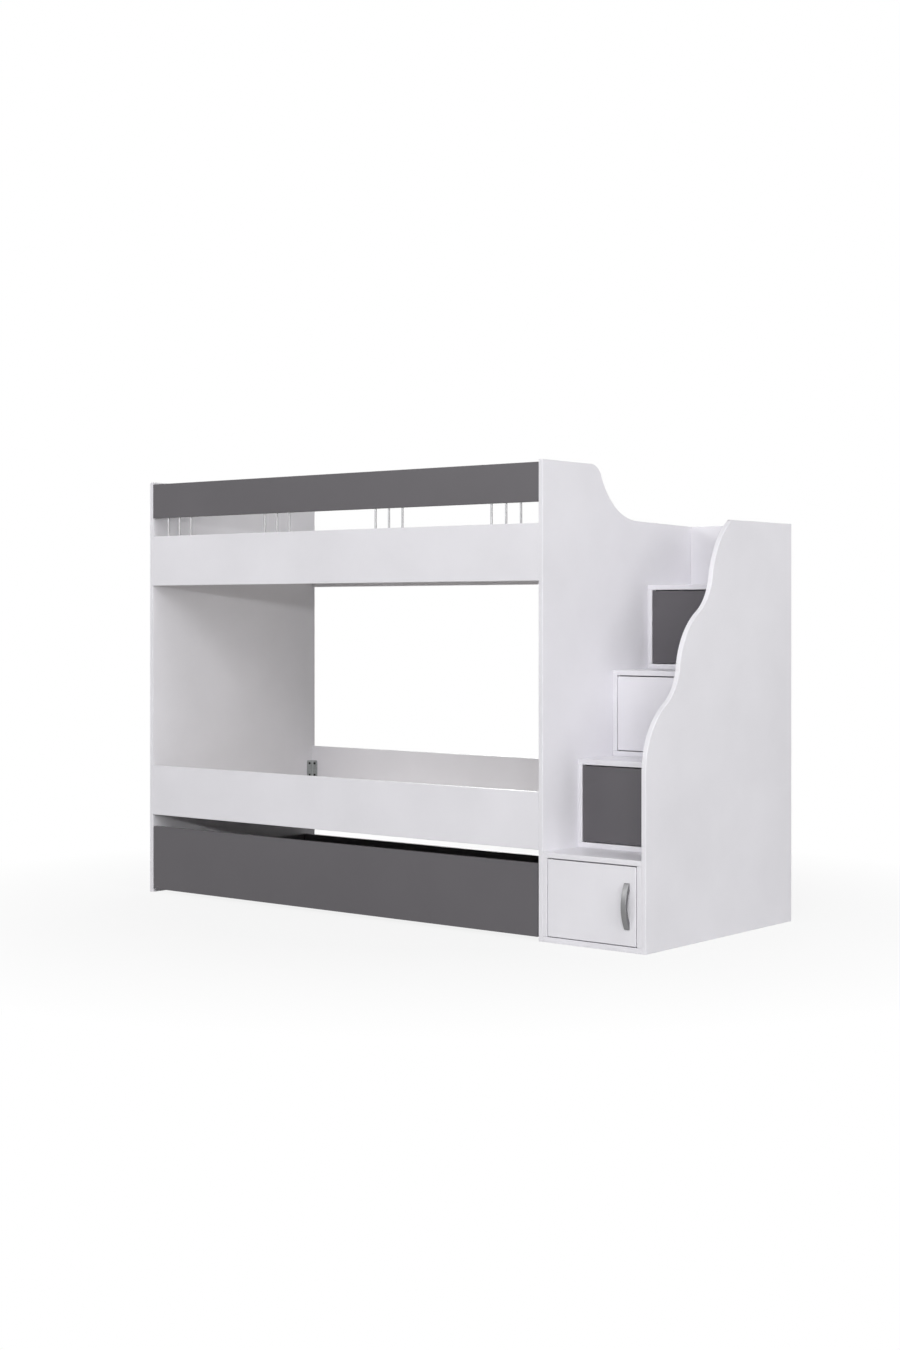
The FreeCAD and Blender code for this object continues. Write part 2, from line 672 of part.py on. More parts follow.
def step_box(step):
    """One cupboard of the tower: a bottom, two sides and a tread, with sockets for its door's bushes."""
    name = "step_%d" % step
    near = "front_%d" % step
    level = "%d * step_rise" % (step - 1)
    depth = "bunk_back - " + near
    pivot = ("pivot_x", near + " + pivot_inset")
    seats = (("-Z", level + " + board"), ("+Z", level + " + step_rise - board"))
    sockets = []
    for facing, height in seats:
        foot = (*pivot, height)
        sockets.append(pin(name + "_socket", foot, facing,
                           "bush_diameter / 2 + fastener_clearance", "bush_length"))
        bush = doc.addObject("Part::Cut", name + "_bush")
        bush.Base = pin(name + "_bush_blank", foot, facing, "bush_diameter / 2", "bush_length")
        bush.Tool = pin(name + "_bush_bore", foot, facing, "pin_diameter / 2 + running_clearance",
                        "pin_bush_depth + pin_end_clearance")
        bushes.append(bush)
    bottom = box(name + "_bottom_blank", ("step_left", near, level), ("step_width", depth, "board"))
    drilled(name + "_bottom", bottom, [sockets[0], back_holes] if step == 1 else [sockets[0]])
    side_size = ("board", depth, "step_rise - 2 * board")
    sides = [box(name + "_side", (x, near, level + " + board"), side_size)
             for x in ("step_left", "step_right - board")]
    drilled(name + "_sides", group(name + "_side_blanks", sides), [dowel_holes, step_screw_holes])
    tread = box(name + "_tread_blank", ("step_left", near, level + " + step_rise - board"),
                ("step_width", depth, "board"))
    drilled(name + "_tread", tread, [sockets[1], dowel_holes, back_holes])


for step in STEPS:
    step_box(step)
node("door_pivot_bushes", group("door_pivot_bushes", bushes))


# Doors

def handle(name, x, y, z):
    """A bow handle: a crescent with blunt ends between an outer and an inner arc, standing on two feet."""
    body = doc.addObject("PartDesign::Body", name + "_blank")
    sketch = new_sketch(body, "YZ_Plane")
    half = value("handle_length") / 2
    reach = value("handle_reach")
    end = value("handle_end")
    inner_half = half - value("handle_foot")
    gap = value("handle_grip_gap")
    outer_radius = (half ** 2 + (reach - end) ** 2) / (2 * (reach - end))
    inner_radius = (inner_half ** 2 + gap ** 2) / (2 * gap)
    outer = arc(sketch, (outer_radius - reach, 0, 0), outer_radius, (-end, half, 0), (-end, -half, 0))
    inner = arc(sketch, (inner_radius - gap, 0, 0), inner_radius, (0, inner_half, 0), (0, -inner_half, 0))
    upper_foot = line(sketch, (0, half, 0), (0, inner_half, 0))
    lower_foot = line(sketch, (0, -inner_half, 0), (0, -half, 0))
    upper_end = line(sketch, (-end, half, 0), (0, half, 0))
    lower_end = line(sketch, (0, -half, 0), (-end, -half, 0))
    join(sketch, "Coincident", (upper_end, START, outer, START), (upper_end, END, upper_foot, START),
         (upper_foot, END, inner, START), (lower_foot, START, inner, END),
         (lower_foot, END, lower_end, START), (lower_end, END, outer, END))
    square_up(sketch, [upper_end, lower_end], [])
    for edge, corner in ((upper_foot, START), (upper_foot, END), (lower_foot, START), (lower_foot, END)):
        sketch.addConstraint(Sketcher.Constraint("PointOnObject", edge, corner, HEIGHT_AXIS))
    hold(sketch, "Top", "DistanceY", *ORIGIN, upper_foot, START, "handle_length / 2")
    hold(sketch, "Bottom", "DistanceY", lower_foot, END, *ORIGIN, "handle_length / 2")
    hold(sketch, "TopFoot", "DistanceY", upper_foot, END, upper_foot, START, "handle_foot")
    hold(sketch, "BottomFoot", "DistanceY", lower_foot, END, lower_foot, START, "handle_foot")
    hold(sketch, "TopEnd", "DistanceX", upper_end, START, upper_end, END, "handle_end")
    hold(sketch, "BottomEnd", "DistanceX", lower_end, END, lower_end, START, "handle_end")
    hold(sketch, "OuterRadius", "Radius", outer,
         "((handle_length / 2)^2 + (handle_reach - handle_end)^2) / (2 * (handle_reach - handle_end))")
    hold(sketch, "InnerRadius", "Radius", inner,
         "((handle_length / 2 - handle_foot)^2 + handle_grip_gap^2) / (2 * handle_grip_gap)")
    padded(body, sketch, "handle_width", both_ways=True)
    return put(body, x, y, z)


def door(step):
    name = "door_%d" % step
    near = "front_%d" % step
    bottom = "%d * step_rise + board + door_bottom_gap" % (step - 1)
    middle = bottom + " + door_height / 2"
    pivot = ("pivot_x", near + " + pivot_inset")
    pins = []
    pin_holes = []
    for facing, height, gap in (("-Z", bottom, "door_bottom_gap"),
                                ("+Z", bottom + " + door_height", "door_top_gap")):
        sign = "-" if facing == "+Z" else "+"
        foot = (*pivot, "%s %s pin_door_depth" % (height, sign))
        length = "pin_door_depth + %s + pin_bush_depth" % gap
        pins.append(pin(name + "_pin", foot, facing, "pin_diameter / 2", length))
        pin_holes.append(pin(name + "_pin_hole", foot, facing, "pin_diameter / 2 + fastener_clearance",
                             "pin_door_depth"))
    node(name + "_pivot_pins", group(name + "_pivot_pins", pins))
    screws = []
    shanks = []
    for shift in ("+ handle_hole_spacing / 2", "- handle_hole_spacing / 2"):
        seat = ("handle_x", near + " + board", middle + " " + shift)
        shank_length = "board + handle_screw_bite"
        shank = pin(name + "_shank", seat, "-Y", "screw_radius", shank_length)
        head = pin(name + "_screw_head", seat, "+Y", "screw_head_diameter / 2", "screw_head_height")
        screws.append(fuse(name + "_handle_screw", [shank, head]))
        shanks.append(pin(name + "_screw_hole", seat, "-Y", "screw_hole_radius",
                          shank_length + " + tip_clearance"))
    node(name + "_handle_screws", group(name + "_handle_screws", screws))
    drilled(name + "_handle", handle(name + "_handle", "handle_x", near, middle), shanks)
    panel = box(name + "_blank", ("door_left", near, bottom), ("door_width", "board", "door_height"))
    drilled(name + "_panel", panel, pin_holes + shanks)


for step in STEPS:
    door(step)


# Trundle

def trundle_board(label, corner, size):
    node(label, box(label, corner, size))


trundle_board("trundle_front", ("trundle_left", "front", "trundle_floor_gap"),
              ("trundle_length", "board", "trundle_front_height"))
trundle_board("trundle_back", ("tray_left", "tray_back", "trundle_side_level"),
              ("tray_length", "board", "trundle_side_height"))
trundle_board("trundle_base", ("tray_left", "tray_front", "castor_height"),
              ("tray_length", "tray_back - tray_front", "board"))
node("trundle_sides", group("trundle_sides", [
    box("trundle_side", (x, "tray_front", "trundle_side_level"),
        ("board", "trundle_depth - board", "trundle_side_height"))
    for x in ("tray_left - board", "tray_left + tray_length")]))

axle_bore = pin("axle_bore", ("-fork_gap", "0", "wheel_radius"), "+X",
                "axle_radius + fastener_clearance", "2 * fork_gap")
fork_blank = fuse("fork_blank", [
    box("fork_plate",
        ("-fork_gap / 2 - castor_steel", "-castor_plate_length / 2", "castor_height - castor_steel"),
        ("fork_gap + 2 * castor_steel", "castor_plate_length", "castor_steel")),
    *[box("fork_cheek", (x, "-castor_cheek_length / 2", "wheel_radius - castor_cheek_drop"),
          ("castor_steel", "castor_cheek_length", "castor_height - wheel_radius + castor_cheek_drop"))
      for x in ("-fork_gap / 2 - castor_steel", "fork_gap / 2")],
])
fork = doc.addObject("Part::Cut", "fork")
fork.Base = fork_blank
fork.Tool = axle_bore
axle = pin("axle", ("-fork_gap / 2 - castor_steel - axle_overhang", "0", "wheel_radius"), "+X",
           "axle_radius", "fork_gap + 2 * (castor_steel + axle_overhang)")

castor_spots = []
for x_side, y_side in CASTOR_ENDS:
    x = "tray_left + castor_inset_x" if x_side < 0 else "tray_left + tray_length - castor_inset_x"
    y = "tray_front + castor_inset_y" if y_side > 0 else "tray_back - castor_inset_y"
    castor_spots.append((x, y, "0"))
node("castor_forks", group("castor_forks", [copy_of(fork, *spot) for spot in castor_spots]))
node("castor_axles", group("castor_axles", [copy_of(axle, *spot) for spot in castor_spots]))
for number, (x, y, z) in enumerate(castor_spots, start=1):
    name = "castor_wheel_%d" % number
    foot = (x + " - wheel_width / 2", y, "wheel_radius")
    tyre = pin(name + "_blank", foot, "+X", "wheel_radius", "wheel_width")
    drilled(name, tyre, [pin(name + "_bore", foot, "+X", "axle_radius + running_clearance", "wheel_width")])


# Check every piece, then write it

doc.recompute()
for thing in doc.Objects:
    if "Invalid" in thing.State or "Error" in thing.State:
        raise RuntimeError("%s failed: %s" % (thing.Label, thing.State))
for label, thing in nodes.items():
    if thing.Shape.isNull() or not thing.Shape.isValid() or not thing.Shape.Solids:
        raise RuntimeError("%s has no valid shape" % label)
os.makedirs("parts", exist_ok=True)
for label, thing in nodes.items():
    thing.Shape.exportStep("parts/%s.step" % label)
print("%d sub-parts written" % len(nodes))
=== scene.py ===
import json
import math
import random

import bpy
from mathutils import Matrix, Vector

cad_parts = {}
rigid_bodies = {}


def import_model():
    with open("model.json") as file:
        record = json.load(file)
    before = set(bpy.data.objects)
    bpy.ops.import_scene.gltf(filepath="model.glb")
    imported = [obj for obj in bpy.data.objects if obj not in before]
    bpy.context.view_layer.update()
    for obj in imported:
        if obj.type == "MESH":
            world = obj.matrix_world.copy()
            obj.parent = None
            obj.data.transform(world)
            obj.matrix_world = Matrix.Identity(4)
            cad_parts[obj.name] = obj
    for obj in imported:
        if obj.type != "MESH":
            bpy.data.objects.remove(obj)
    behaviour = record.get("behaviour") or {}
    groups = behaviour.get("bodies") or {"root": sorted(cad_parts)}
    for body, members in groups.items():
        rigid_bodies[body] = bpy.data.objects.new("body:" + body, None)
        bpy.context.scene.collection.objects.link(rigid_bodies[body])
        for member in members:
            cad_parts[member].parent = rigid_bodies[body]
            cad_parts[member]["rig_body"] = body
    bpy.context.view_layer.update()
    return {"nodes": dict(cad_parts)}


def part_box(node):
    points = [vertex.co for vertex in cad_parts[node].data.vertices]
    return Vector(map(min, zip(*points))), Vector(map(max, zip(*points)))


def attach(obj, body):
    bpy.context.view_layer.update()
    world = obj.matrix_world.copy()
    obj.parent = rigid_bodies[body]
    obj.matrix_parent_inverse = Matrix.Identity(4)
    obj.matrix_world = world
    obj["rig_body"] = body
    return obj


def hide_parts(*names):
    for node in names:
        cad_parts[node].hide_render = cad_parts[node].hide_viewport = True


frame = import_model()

# Bunk bed with a stair tower of four cupboards and a trundle on castors, dressed around its solid frame.
# Lengths are in metres. The front faces -Y, the stairs stand at the +X end and Z rises from the floor.

dice = random.Random(7)

STEPS = (1, 2, 3, 4)
CASTORS = (1, 2, 3, 4)
BOARD = 0.018
ARRIS = 0.0018

# How close to a place a point counts as on it
NEAR = 1e-5

# Curves of the two shaped panels
SWEEP_CORNER = 0.065
SWEEP_RADIUS = 0.250
SWEEP_END = 0.568
SWEEP_FALL = 0.009
WAVE_DROP = 0.016
WAVE_LIFT = 0.022
CREST_RADIUS = 0.257
HOLLOW_RADIUS = 0.171
SHOULDER_RADIUS = 0.300
ARC_STEPS = 28

# Guard rods, slats and ledges
ROD_RADIUS = 0.004
ROD_ARRIS = 0.0006
ROD_SPACING = 0.064
ROD_GROUP_INNER = 0.280
ROD_GROUP_EDGE = 0.145
SLAT_COUNT = 14
SLAT_WIDTH = 0.128
SLAT_ARRIS = 0.003
LEDGE_WIDTH = 0.025
LEDGE_ARRIS = 0.002
LEDGE_SCREW_COUNT = 5
LEDGE_SCREW_EDGE = 0.080

# Brackets and fasteners
BRACKET_LEAF = 0.032
BRACKET_STEEL = 0.0025
BRACKET_HEIGHT = 0.076
BRACKET_CORNER = 0.006
BRACKET_BEND = 0.002
STEEL_ARRIS = 0.0004
BRACKET_SCREW_OUT = 0.018
BRACKET_SCREW_EDGE = 0.013
BRACKET_SCREW_RADIUS = 0.0025
BRACKET_SCREW_HEAD_RADIUS = 0.005
BRACKET_SCREW_CROWN = 0.003
SCREW_RADIUS = 0.002
SCREW_HEAD_RADIUS = 0.004
SCREW_CROWN = 0.0024
SCREW_TIP = 0.003
SCREW_BITE = 0.011
STEP_SCREW_EDGE = 0.110
BACK_SCREW_RADIUS = 0.0025
BACK_SCREW_HEAD_RADIUS = 0.005
BACK_SCREW_CROWN = 0.003
BACK_SCREW_LENGTH = 0.047
BACK_SCREW_INSET = 0.090
FIT = 0.00005

# Doors and handles
BUSH_RADIUS = 0.0035
BUSH_LENGTH = 0.012
HANDLE_FOOT = 0.025
HANDLE_BOW = 0.013
HANDLE_END = 0.005
HANDLE_ARRIS = 0.0024
HANDLE_SCREW_BITE = 0.006

# Castors
CASTOR_STEEL = 0.0025
CASTOR_PLATE = 0.056
CASTOR_CHEEK = 0.022
CASTOR_GAP = 0.023
CASTOR_PLATE_CORNER = 0.005
CASTOR_CHEEK_CORNER = 0.007
AXLE_RADIUS = 0.003
WHEEL_RIM = 0.0055
WHEEL_DISH = 0.0095
WHEEL_DISH_DEPTH = 0.0030
WHEEL_DISH_SLOPE = 0.0012
WHEEL_HUB_HEIGHT = 0.0028
WHEEL_HUB_SLOPE = 0.0010
WHEEL_ARRIS = 0.0016

# The camera: level, before the stair end, with its turn in degrees and its lens in millimetres
CAMERA_SPOT = (4.8513, -5.9364, 1.1072)
CAMERA_TURN = 39.324
CAMERA_LENS = 53.909
CAMERA_SHIFT = -0.0452


# Finishes

def socket_name(word):
    """A shader socket's name from its plain word."""
    return word.replace("_", " ").title().replace("Ior", "IOR")


class Finish:
    """A material, its shader and short ways to add nodes to it."""

    def __init__(self, name, **constants):
        self.material = bpy.data.materials.new(name)
        self.material.use_nodes = True
        self.tree = self.material.node_tree
        self.shader = self.tree.nodes["Principled BSDF"]
        for socket, amount in constants.items():
            self.shader.inputs[socket_name(socket)].default_value = amount
        self.place = self.add("ShaderNodeTexCoord").outputs["Object"]

    def feed(self, socket, source):
        """Link an input from another socket, or give it a value."""
        if isinstance(source, bpy.types.NodeSocket):
            self.tree.links.new(source, socket)
        else:
            socket.default_value = source

    def add(self, kind, inputs=(), **settings):
        """A new node: settings are its own, and inputs are values or sockets to link from."""
        node = self.tree.nodes.new(kind)
        for name, setting in settings.items():
            setattr(node, name, setting)
        for name, source in dict(inputs).items():
            self.feed(node.inputs[name], source)
        return node

    def stretch(self, scale, source=None):
        """Coordinates drawn out along an axis."""
        inputs = {"Vector": source or self.place, "Scale": scale}
        return self.add("ShaderNodeMapping", inputs).outputs["Vector"]

    def noise(self, scale, detail=2.0, source=None, distortion=0.0):
        inputs = {"Vector": source or self.place, "Scale": scale, "Detail": detail,
                  "Distortion": distortion}
        return self.add("ShaderNodeTexNoise", inputs).outputs["Fac"]

    def span(self, factor, low, high, start=0.3, end=0.7):
        """A factor spread over a range of values."""
        inputs = {"Value": factor, "From Min": start, "From Max": end, "To Min": low, "To Max": high}
        return self.add("ShaderNodeMapRange", inputs).outputs["Result"]

    def sums(self, first, second, operation="ADD"):
        """Two factors added, or put together by another operation."""
        return self.add("ShaderNodeMath", {0: first, 1: second}, operation=operation).outputs["Value"]

    def tones(self, factor, *stops):
        """Colours along a factor, each stop a position and a colour."""
        ramp = self.add("ShaderNodeValToRGB", {"Fac": factor})
        while len(ramp.color_ramp.elements) < len(stops):
            ramp.color_ramp.elements.new(0.5)
        for element, (position, colour) in zip(ramp.color_ramp.elements, stops):
            element.position = position
            element.color = (*colour, 1.0)
        return ramp.outputs["Color"]

    def blend(self, factor, first, second):
        """A mix of two colours."""
        node = self.add("ShaderNodeMix", data_type="RGBA")
        sources = {"Factor_Float": factor, "A_Color": first, "B_Color": second}
        for socket in node.inputs:
            if socket.identifier in sources:
                self.feed(socket, sources[socket.identifier])
        return next(socket for socket in node.outputs if socket.identifier == "Result_Color")

    def relief(self, height, depth, under=None):
        """Bumps of a given depth, laid over other bumps where there are any."""
        inputs = {"Height": height, "Distance": depth, "Strength": 1.0}
        if under is not None:
            inputs["Normal"] = under
        return self.add("ShaderNodeBump", inputs).outputs["Normal"]

    def wire(self, **sources):
        """Link sockets to the shader's own inputs and hand over the material."""
        for socket, source in sources.items():
            self.tree.links.new(source, self.shader.inputs[socket_name(socket)])
        return self.material


def scaled(colour, share):
    return tuple(channel * share for channel in colour)


def melamine_face(name, colour):
    """The pressed face of a board: fine pearl in the resin, a faint cloud in its tone, handling marks."""
    finish = Finish(name, specular_ior_level=0.28)
    cloud = finish.noise(3.0, detail=4.0)
    pearl = finish.noise(1400.0, detail=1.0)
    swell = finish.noise(55.0, detail=2.0)
    smear = finish.noise(9.0, detail=5.0, distortion=1.2)
    tone = finish.tones(cloud, (0.3, scaled(colour, 0.965)), (0.7, scaled(colour, 1.03)))
    speck = finish.span(pearl, 0.985, 1.015)
    specked = finish.add("ShaderNodeVectorMath", {0: tone, 1: speck}, operation="MULTIPLY")
    shine = finish.sums(finish.span(smear, 0.36, 0.46), finish.span(pearl, -0.02, 0.02))
    bumps = finish.relief(swell, 0.00012)
    bumps = finish.relief(pearl, 0.00003, under=bumps)
    return finish.wire(base_color=specked.outputs["Vector"], roughness=shine, normal=bumps)


def edge_band(name, colour):
    """The band ironed to a board's edges: smoother than the face, with drag lines and rubbed spots."""
    finish = Finish(name, specular_ior_level=0.32)
    lines = finish.noise(260.0, detail=2.0, source=finish.stretch((1.0, 1.0, 0.04)))
    rubbed = finish.noise(14.0, detail=5.0, distortion=0.8)
    tone = finish.tones(lines, (0.3, scaled(colour, 0.975)), (0.7, scaled(colour, 1.02)))
    worn = finish.span(rubbed, 0.0, 0.22, start=0.52, end=0.78)
    shade = finish.blend(worn, tone, (*scaled(colour, 0.93), 1.0))
    shine = finish.sums(finish.span(lines, 0.27, 0.33), finish.sums(worn, 0.5, "MULTIPLY"))
    return finish.wire(base_color=shade, roughness=shine, normal=finish.relief(lines, 0.00002))


def pine(name, along):
    """Pale planed softwood: growth rings drawn out along the plank, fine fibres and a few knots."""
    finish = Finish(name)
    across = [1.0, 1.0, 1.0]
    across[along] = 0.05
    plank = finish.add("ShaderNodeAttribute", attribute_name="plank").outputs["Fac"]
    shift = finish.add("ShaderNodeCombineXYZ", {"X": plank, "Y": plank, "Z": plank}).outputs["Vector"]
    shifted = finish.add("ShaderNodeVectorMath", {0: finish.place, 1: shift}, operation="ADD")
    spot = shifted.outputs["Vector"]
    drawn = finish.stretch(across, spot)
    warp = finish.noise(22.0, detail=3.0, source=drawn)
    rings = finish.noise(95.0, detail=1.5, source=drawn, distortion=1.6)
    fibre_scale = [900.0, 900.0, 900.0]
    fibre_scale[along] = 18.0
    fibre = finish.noise(1.0, detail=3.0, source=finish.stretch(fibre_scale, spot))
    knots = finish.add("ShaderNodeTexVoronoi", {"Vector": spot, "Scale": 5.0})
    knot = finish.span(knots.outputs["Distance"], 1.0, 0.0, start=0.035, end=0.10)
    light = (0.80, 0.775, 0.735)
    dark = (0.725, 0.685, 0.62)
    brown = (0.42, 0.32, 0.22)
    grain = finish.tones(rings, (0.36, dark), (0.52, light), (0.62, scaled(light, 1.08)))
    grain = finish.blend(finish.span(warp, 0.0, 0.35), grain, (*scaled(light, 0.86), 1.0))
    grain = finish.blend(finish.span(fibre, 0.0, 0.25), grain, (*dark, 1.0))
    shade = finish.blend(finish.sums(knot, 0.8, "MULTIPLY"), grain, (*brown, 1.0))
    shine = finish.span(fibre, 0.72, 0.52)
    bumps = finish.relief(rings, 0.00008)
    bumps = finish.relief(fibre, 0.00006, under=bumps)
    return finish.wire(base_color=shade, roughness=shine, normal=bumps)


def zinc(name):
    """Zinc plating: a spangle of pale crystals under fine handling scratches."""
    finish = Finish(name, metallic=1.0)
    crystals = finish.add("ShaderNodeTexVoronoi", {"Vector": finish.place, "Scale": 420.0})
    scratch = finish.noise(700.0, detail=3.0, source=finish.stretch((1.0, 1.0, 0.08)))
    stain = finish.noise(60.0, detail=4.0)
    grey = finish.add("ShaderNodeRGBToBW", {"Color": crystals.outputs["Color"]}).outputs["Val"]
    tone = finish.tones(grey, (0.2, (0.40, 0.415, 0.42)), (0.8, (0.56, 0.57, 0.575)))
    shade = finish.blend(finish.span(stain, 0.0, 0.3), tone, (0.33, 0.335, 0.33, 1.0))
    shine = finish.sums(finish.span(grey, 0.30, 0.42), finish.span(scratch, -0.05, 0.07))
    return finish.wire(base_color=shade, roughness=shine, normal=finish.relief(scratch, 0.00002))


def satin_metal(name, colour, dullness):
    """Satin metal, brushed along its length and dulled where it is touched."""
    finish = Finish(name, metallic=1.0)
    brushed = finish.noise(1.0, detail=3.0, source=finish.stretch((2200.0, 2200.0, 6.0)))
    touched = finish.noise(48.0, detail=4.0)
    tone = finish.tones(brushed, (0.3, scaled(colour, 0.86)), (0.7, scaled(colour, 1.1)))
    shade = finish.blend(finish.span(touched, 0.0, 0.25), tone, (*scaled(colour, 0.7), 1.0))
    line_shine = finish.span(brushed, dullness - 0.04, dullness + 0.04)
    shine = finish.sums(line_shine, finish.span(touched, 0.0, 0.06))
    return finish.wire(base_color=shade, roughness=shine, normal=finish.relief(brushed, 0.000006))


def blackened_steel(name):
    """Blackened steel: a dark oxide skin, rubbed brighter in spots."""
    finish = Finish(name, metallic=1.0)
    skin = finish.noise(900.0, detail=3.0)
    rubbed = finish.noise(160.0, detail=4.0)
    tone = finish.tones(skin, (0.3, (0.050, 0.050, 0.052)), (0.7, (0.085, 0.084, 0.083)))
    worn = finish.span(rubbed, 0.0, 0.45, start=0.55, end=0.8)
    shade = finish.blend(worn, tone, (0.19, 0.19, 0.19, 1.0))
    shine = finish.sums(finish.span(skin, 0.42, 0.52), finish.sums(worn, -0.2, "MULTIPLY"))
    return finish.wire(base_color=shade, roughness=shine, normal=finish.relief(skin, 0.00003))


def moulded_plastic(name):
    """Black moulded plastic with an eroded mould texture and dulled, dusty patches."""
    finish = Finish(name)
    erosion = finish.noise(2600.0, detail=2.0)
    dust = finish.noise(70.0, detail=5.0)
    tone = finish.tones(dust, (0.4, (0.018, 0.018, 0.019)), (0.75, (0.050, 0.049, 0.048)))
    shine = finish.sums(finish.span(dust, 0.38, 0.55), finish.span(erosion, -0.04, 0.04))
    return finish.wire(base_color=tone, roughness=shine, normal=finish.relief(erosion, 0.00004))


WHITE = (0.802, 0.792, 0.828)
GREY = (0.121, 0.115, 0.124)
white_finishes = (melamine_face("white_board_face", WHITE),
                  edge_band("white_edge_band", scaled(WHITE, 0.97)))
grey_finishes = (melamine_face("grey_board_face", GREY),
                 edge_band("grey_edge_band", scaled(GREY, 1.05)))
slat_finish = pine("pine_slat", 1)
ledge_finish = pine("pine_ledge", 0)
zinc_finish = zinc("zinc_plate")
dark_screw_finish = blackened_steel("blackened_screw")
rod_finish = satin_metal("satin_rod", (0.42, 0.42, 0.43), 0.48)
handle_finish = satin_metal("satin_handle", (0.25, 0.25, 0.255), 0.42)
plastic_finish = moulded_plastic("black_moulded_plastic")


# Hand tools

def deselect():
    bpy.ops.object.select_all(action="DESELECT")


def select_only(*pieces):
    deselect()
    for piece in pieces:
        piece.select_set(True)
    bpy.context.view_layer.objects.active = pieces[0]


def place_in_mesh():
    bpy.ops.object.transform_apply(location=True, rotation=True, scale=True)


def block(name, low, high):
    """A cube drawn out between two corners."""
    deselect()
    middle = [(a + b) / 2 for a, b in zip(low, high)]
    size = [b - a for a, b in zip(low, high)]
    bpy.ops.mesh.primitive_cube_add(size=1, location=middle, scale=size)
    place_in_mesh()
    bpy.context.object.name = name
    return bpy.context.object


def bar(name, middle, radius, length, turn=(0, 0, 0), sides=32):
    """A round bar about its middle, upright unless it is turned."""
    deselect()
    bpy.ops.mesh.primitive_cylinder_add(vertices=sides, radius=radius, depth=length, location=middle,
                                        rotation=turn)
    place_in_mesh()
    bpy.context.object.name = name
    return bpy.context.object


def pick(piece, kind, test):
    """Select the faces or edges that pass a test, in edit mode."""
    select_only(piece)
    bpy.ops.object.mode_set(mode="EDIT")
    bpy.ops.mesh.select_mode(type=kind)
    bpy.ops.mesh.select_all(action="DESELECT")
    bpy.ops.object.mode_set(mode="OBJECT")
    points = piece.data.vertices
    if kind == "FACE":
        for face in piece.data.polygons:
            face.select = test(face)
    else:
        for edge in piece.data.edges:
            edge.select = test(*[points[index].co for index in edge.vertices])
    bpy.ops.object.mode_set(mode="EDIT")


def extrude(step):
    bpy.ops.mesh.extrude_region_move(TRANSFORM_OT_translate={"value": step})


def leave_edit():
    bpy.ops.object.mode_set(mode="OBJECT")


def use_modifier(piece, kind, **settings):
    select_only(piece)
    bpy.ops.object.modifier_add(type=kind)
    modifier = piece.modifiers[-1]
    for name, setting in settings.items():
        setattr(modifier, name, setting)
    bpy.ops.object.modifier_apply(modifier=modifier.name)


def ease(piece, radius, segments=3, sharper_than=40):
    """Round off every sharp arris."""
    use_modifier(piece, "BEVEL", width=radius, segments=segments, limit_method="ANGLE",
                 angle_limit=math.radians(sharper_than), use_clamp_overlap=True)


def even_shading(piece):
    """Smooth shading that keeps flat faces flat."""
    select_only(piece)
    bpy.ops.object.shade_smooth_by_angle(angle=math.radians(50))
    use_modifier(piece, "WEIGHTED_NORMAL", keep_sharp=True)


def cut(piece, *cutters):
    """Take the cutters' shapes out of a piece."""
    for cutter in cutters:
        use_modifier(piece, "BOOLEAN", operation="DIFFERENCE", solver="EXACT", object=cutter)
        bpy.data.objects.remove(cutter)


def joined(name, pieces):
    select_only(*pieces)
    bpy.ops.object.join()
    bpy.context.object.name = name
    return bpy.context.object


def copy_to(master, spot, turn=(0, 0, 0)):
    """A copy with its own mesh, turned about the origin and then moved."""
    select_only(master)
    bpy.ops.object.duplicate(linked=False)
    piece = bpy.context.object
    piece.rotation_euler = turn
    piece.location = spot
    place_in_mesh()
    return piece


def copies(name, master, spots):
    """One piece made of a master's copies, each at a spot and a turn. The master goes."""
    piece = joined(name, [copy_to(master, *spot) for spot in spots])
    bpy.data.objects.remove(master)
    return piece


def dress(piece, node, *finishes):
    """Give a piece its finishes and let it stand for its solid."""
    piece.data.materials.clear()
    for finish in finishes:
        piece.data.materials.append(finish)
    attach(piece, frame["nodes"][node]["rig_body"])
    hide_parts(node)
    return piece


class Outline:
    """A closed outline on a plane, drawn vertex by vertex and then given its thickness."""

    def __init__(self, name, spot, axis):
        self.axis = axis
        self.start = Vector(spot)
        self.pen = Vector(spot)
        deselect()
        bpy.ops.mesh.primitive_plane_add(size=0.002, location=spot)
        place_in_mesh()
        self.piece = bpy.context.object
        self.piece.name = name
        bpy.ops.object.mode_set(mode="EDIT")
        bpy.ops.mesh.select_mode(type="VERT")
        bpy.ops.mesh.select_all(action="SELECT")
        bpy.ops.mesh.merge(type="CENTER")

    def line_to(self, spot):
        bpy.ops.mesh.extrude_vertices_move(TRANSFORM_OT_translate={"value": Vector(spot) - self.pen})
        self.pen = Vector(spot)

    def arc_to(self, spot, centre, clockwise, steps=ARC_STEPS):
        middle = Vector(centre)
        turn = (self.pen - middle).angle(Vector(spot) - middle)
        bpy.ops.mesh.spin(steps=steps, angle=turn if clockwise else -turn, center=middle, axis=self.axis)
        self.pen = Vector(spot)

    def thicken(self, step):
        self.line_to(self.start)
        bpy.ops.mesh.select_all(action="SELECT")
        bpy.ops.mesh.remove_doubles(threshold=0.00002)
        bpy.ops.mesh.edge_face_add()
        extrude(step)
        bpy.ops.mesh.select_all(action="SELECT")
        bpy.ops.mesh.normals_make_consistent(inside=False)
        leave_edit()
        return self.piece


# Boards

def banded(piece, node, across, finishes):
    """Give a board's narrow sides the edge band and let it stand for its solid."""
    for face in piece.data.polygons:
        face.material_index = 0 if abs(face.normal[across]) > 0.999 else 1
    even_shading(piece)
    return dress(piece, node, *finishes)


def board(name, node, across, finishes, sockets=()):
    piece = block(name, *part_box(node))
    ease(piece, ARRIS)
    cut(piece, *sockets)
    return banded(piece, node, across, finishes)


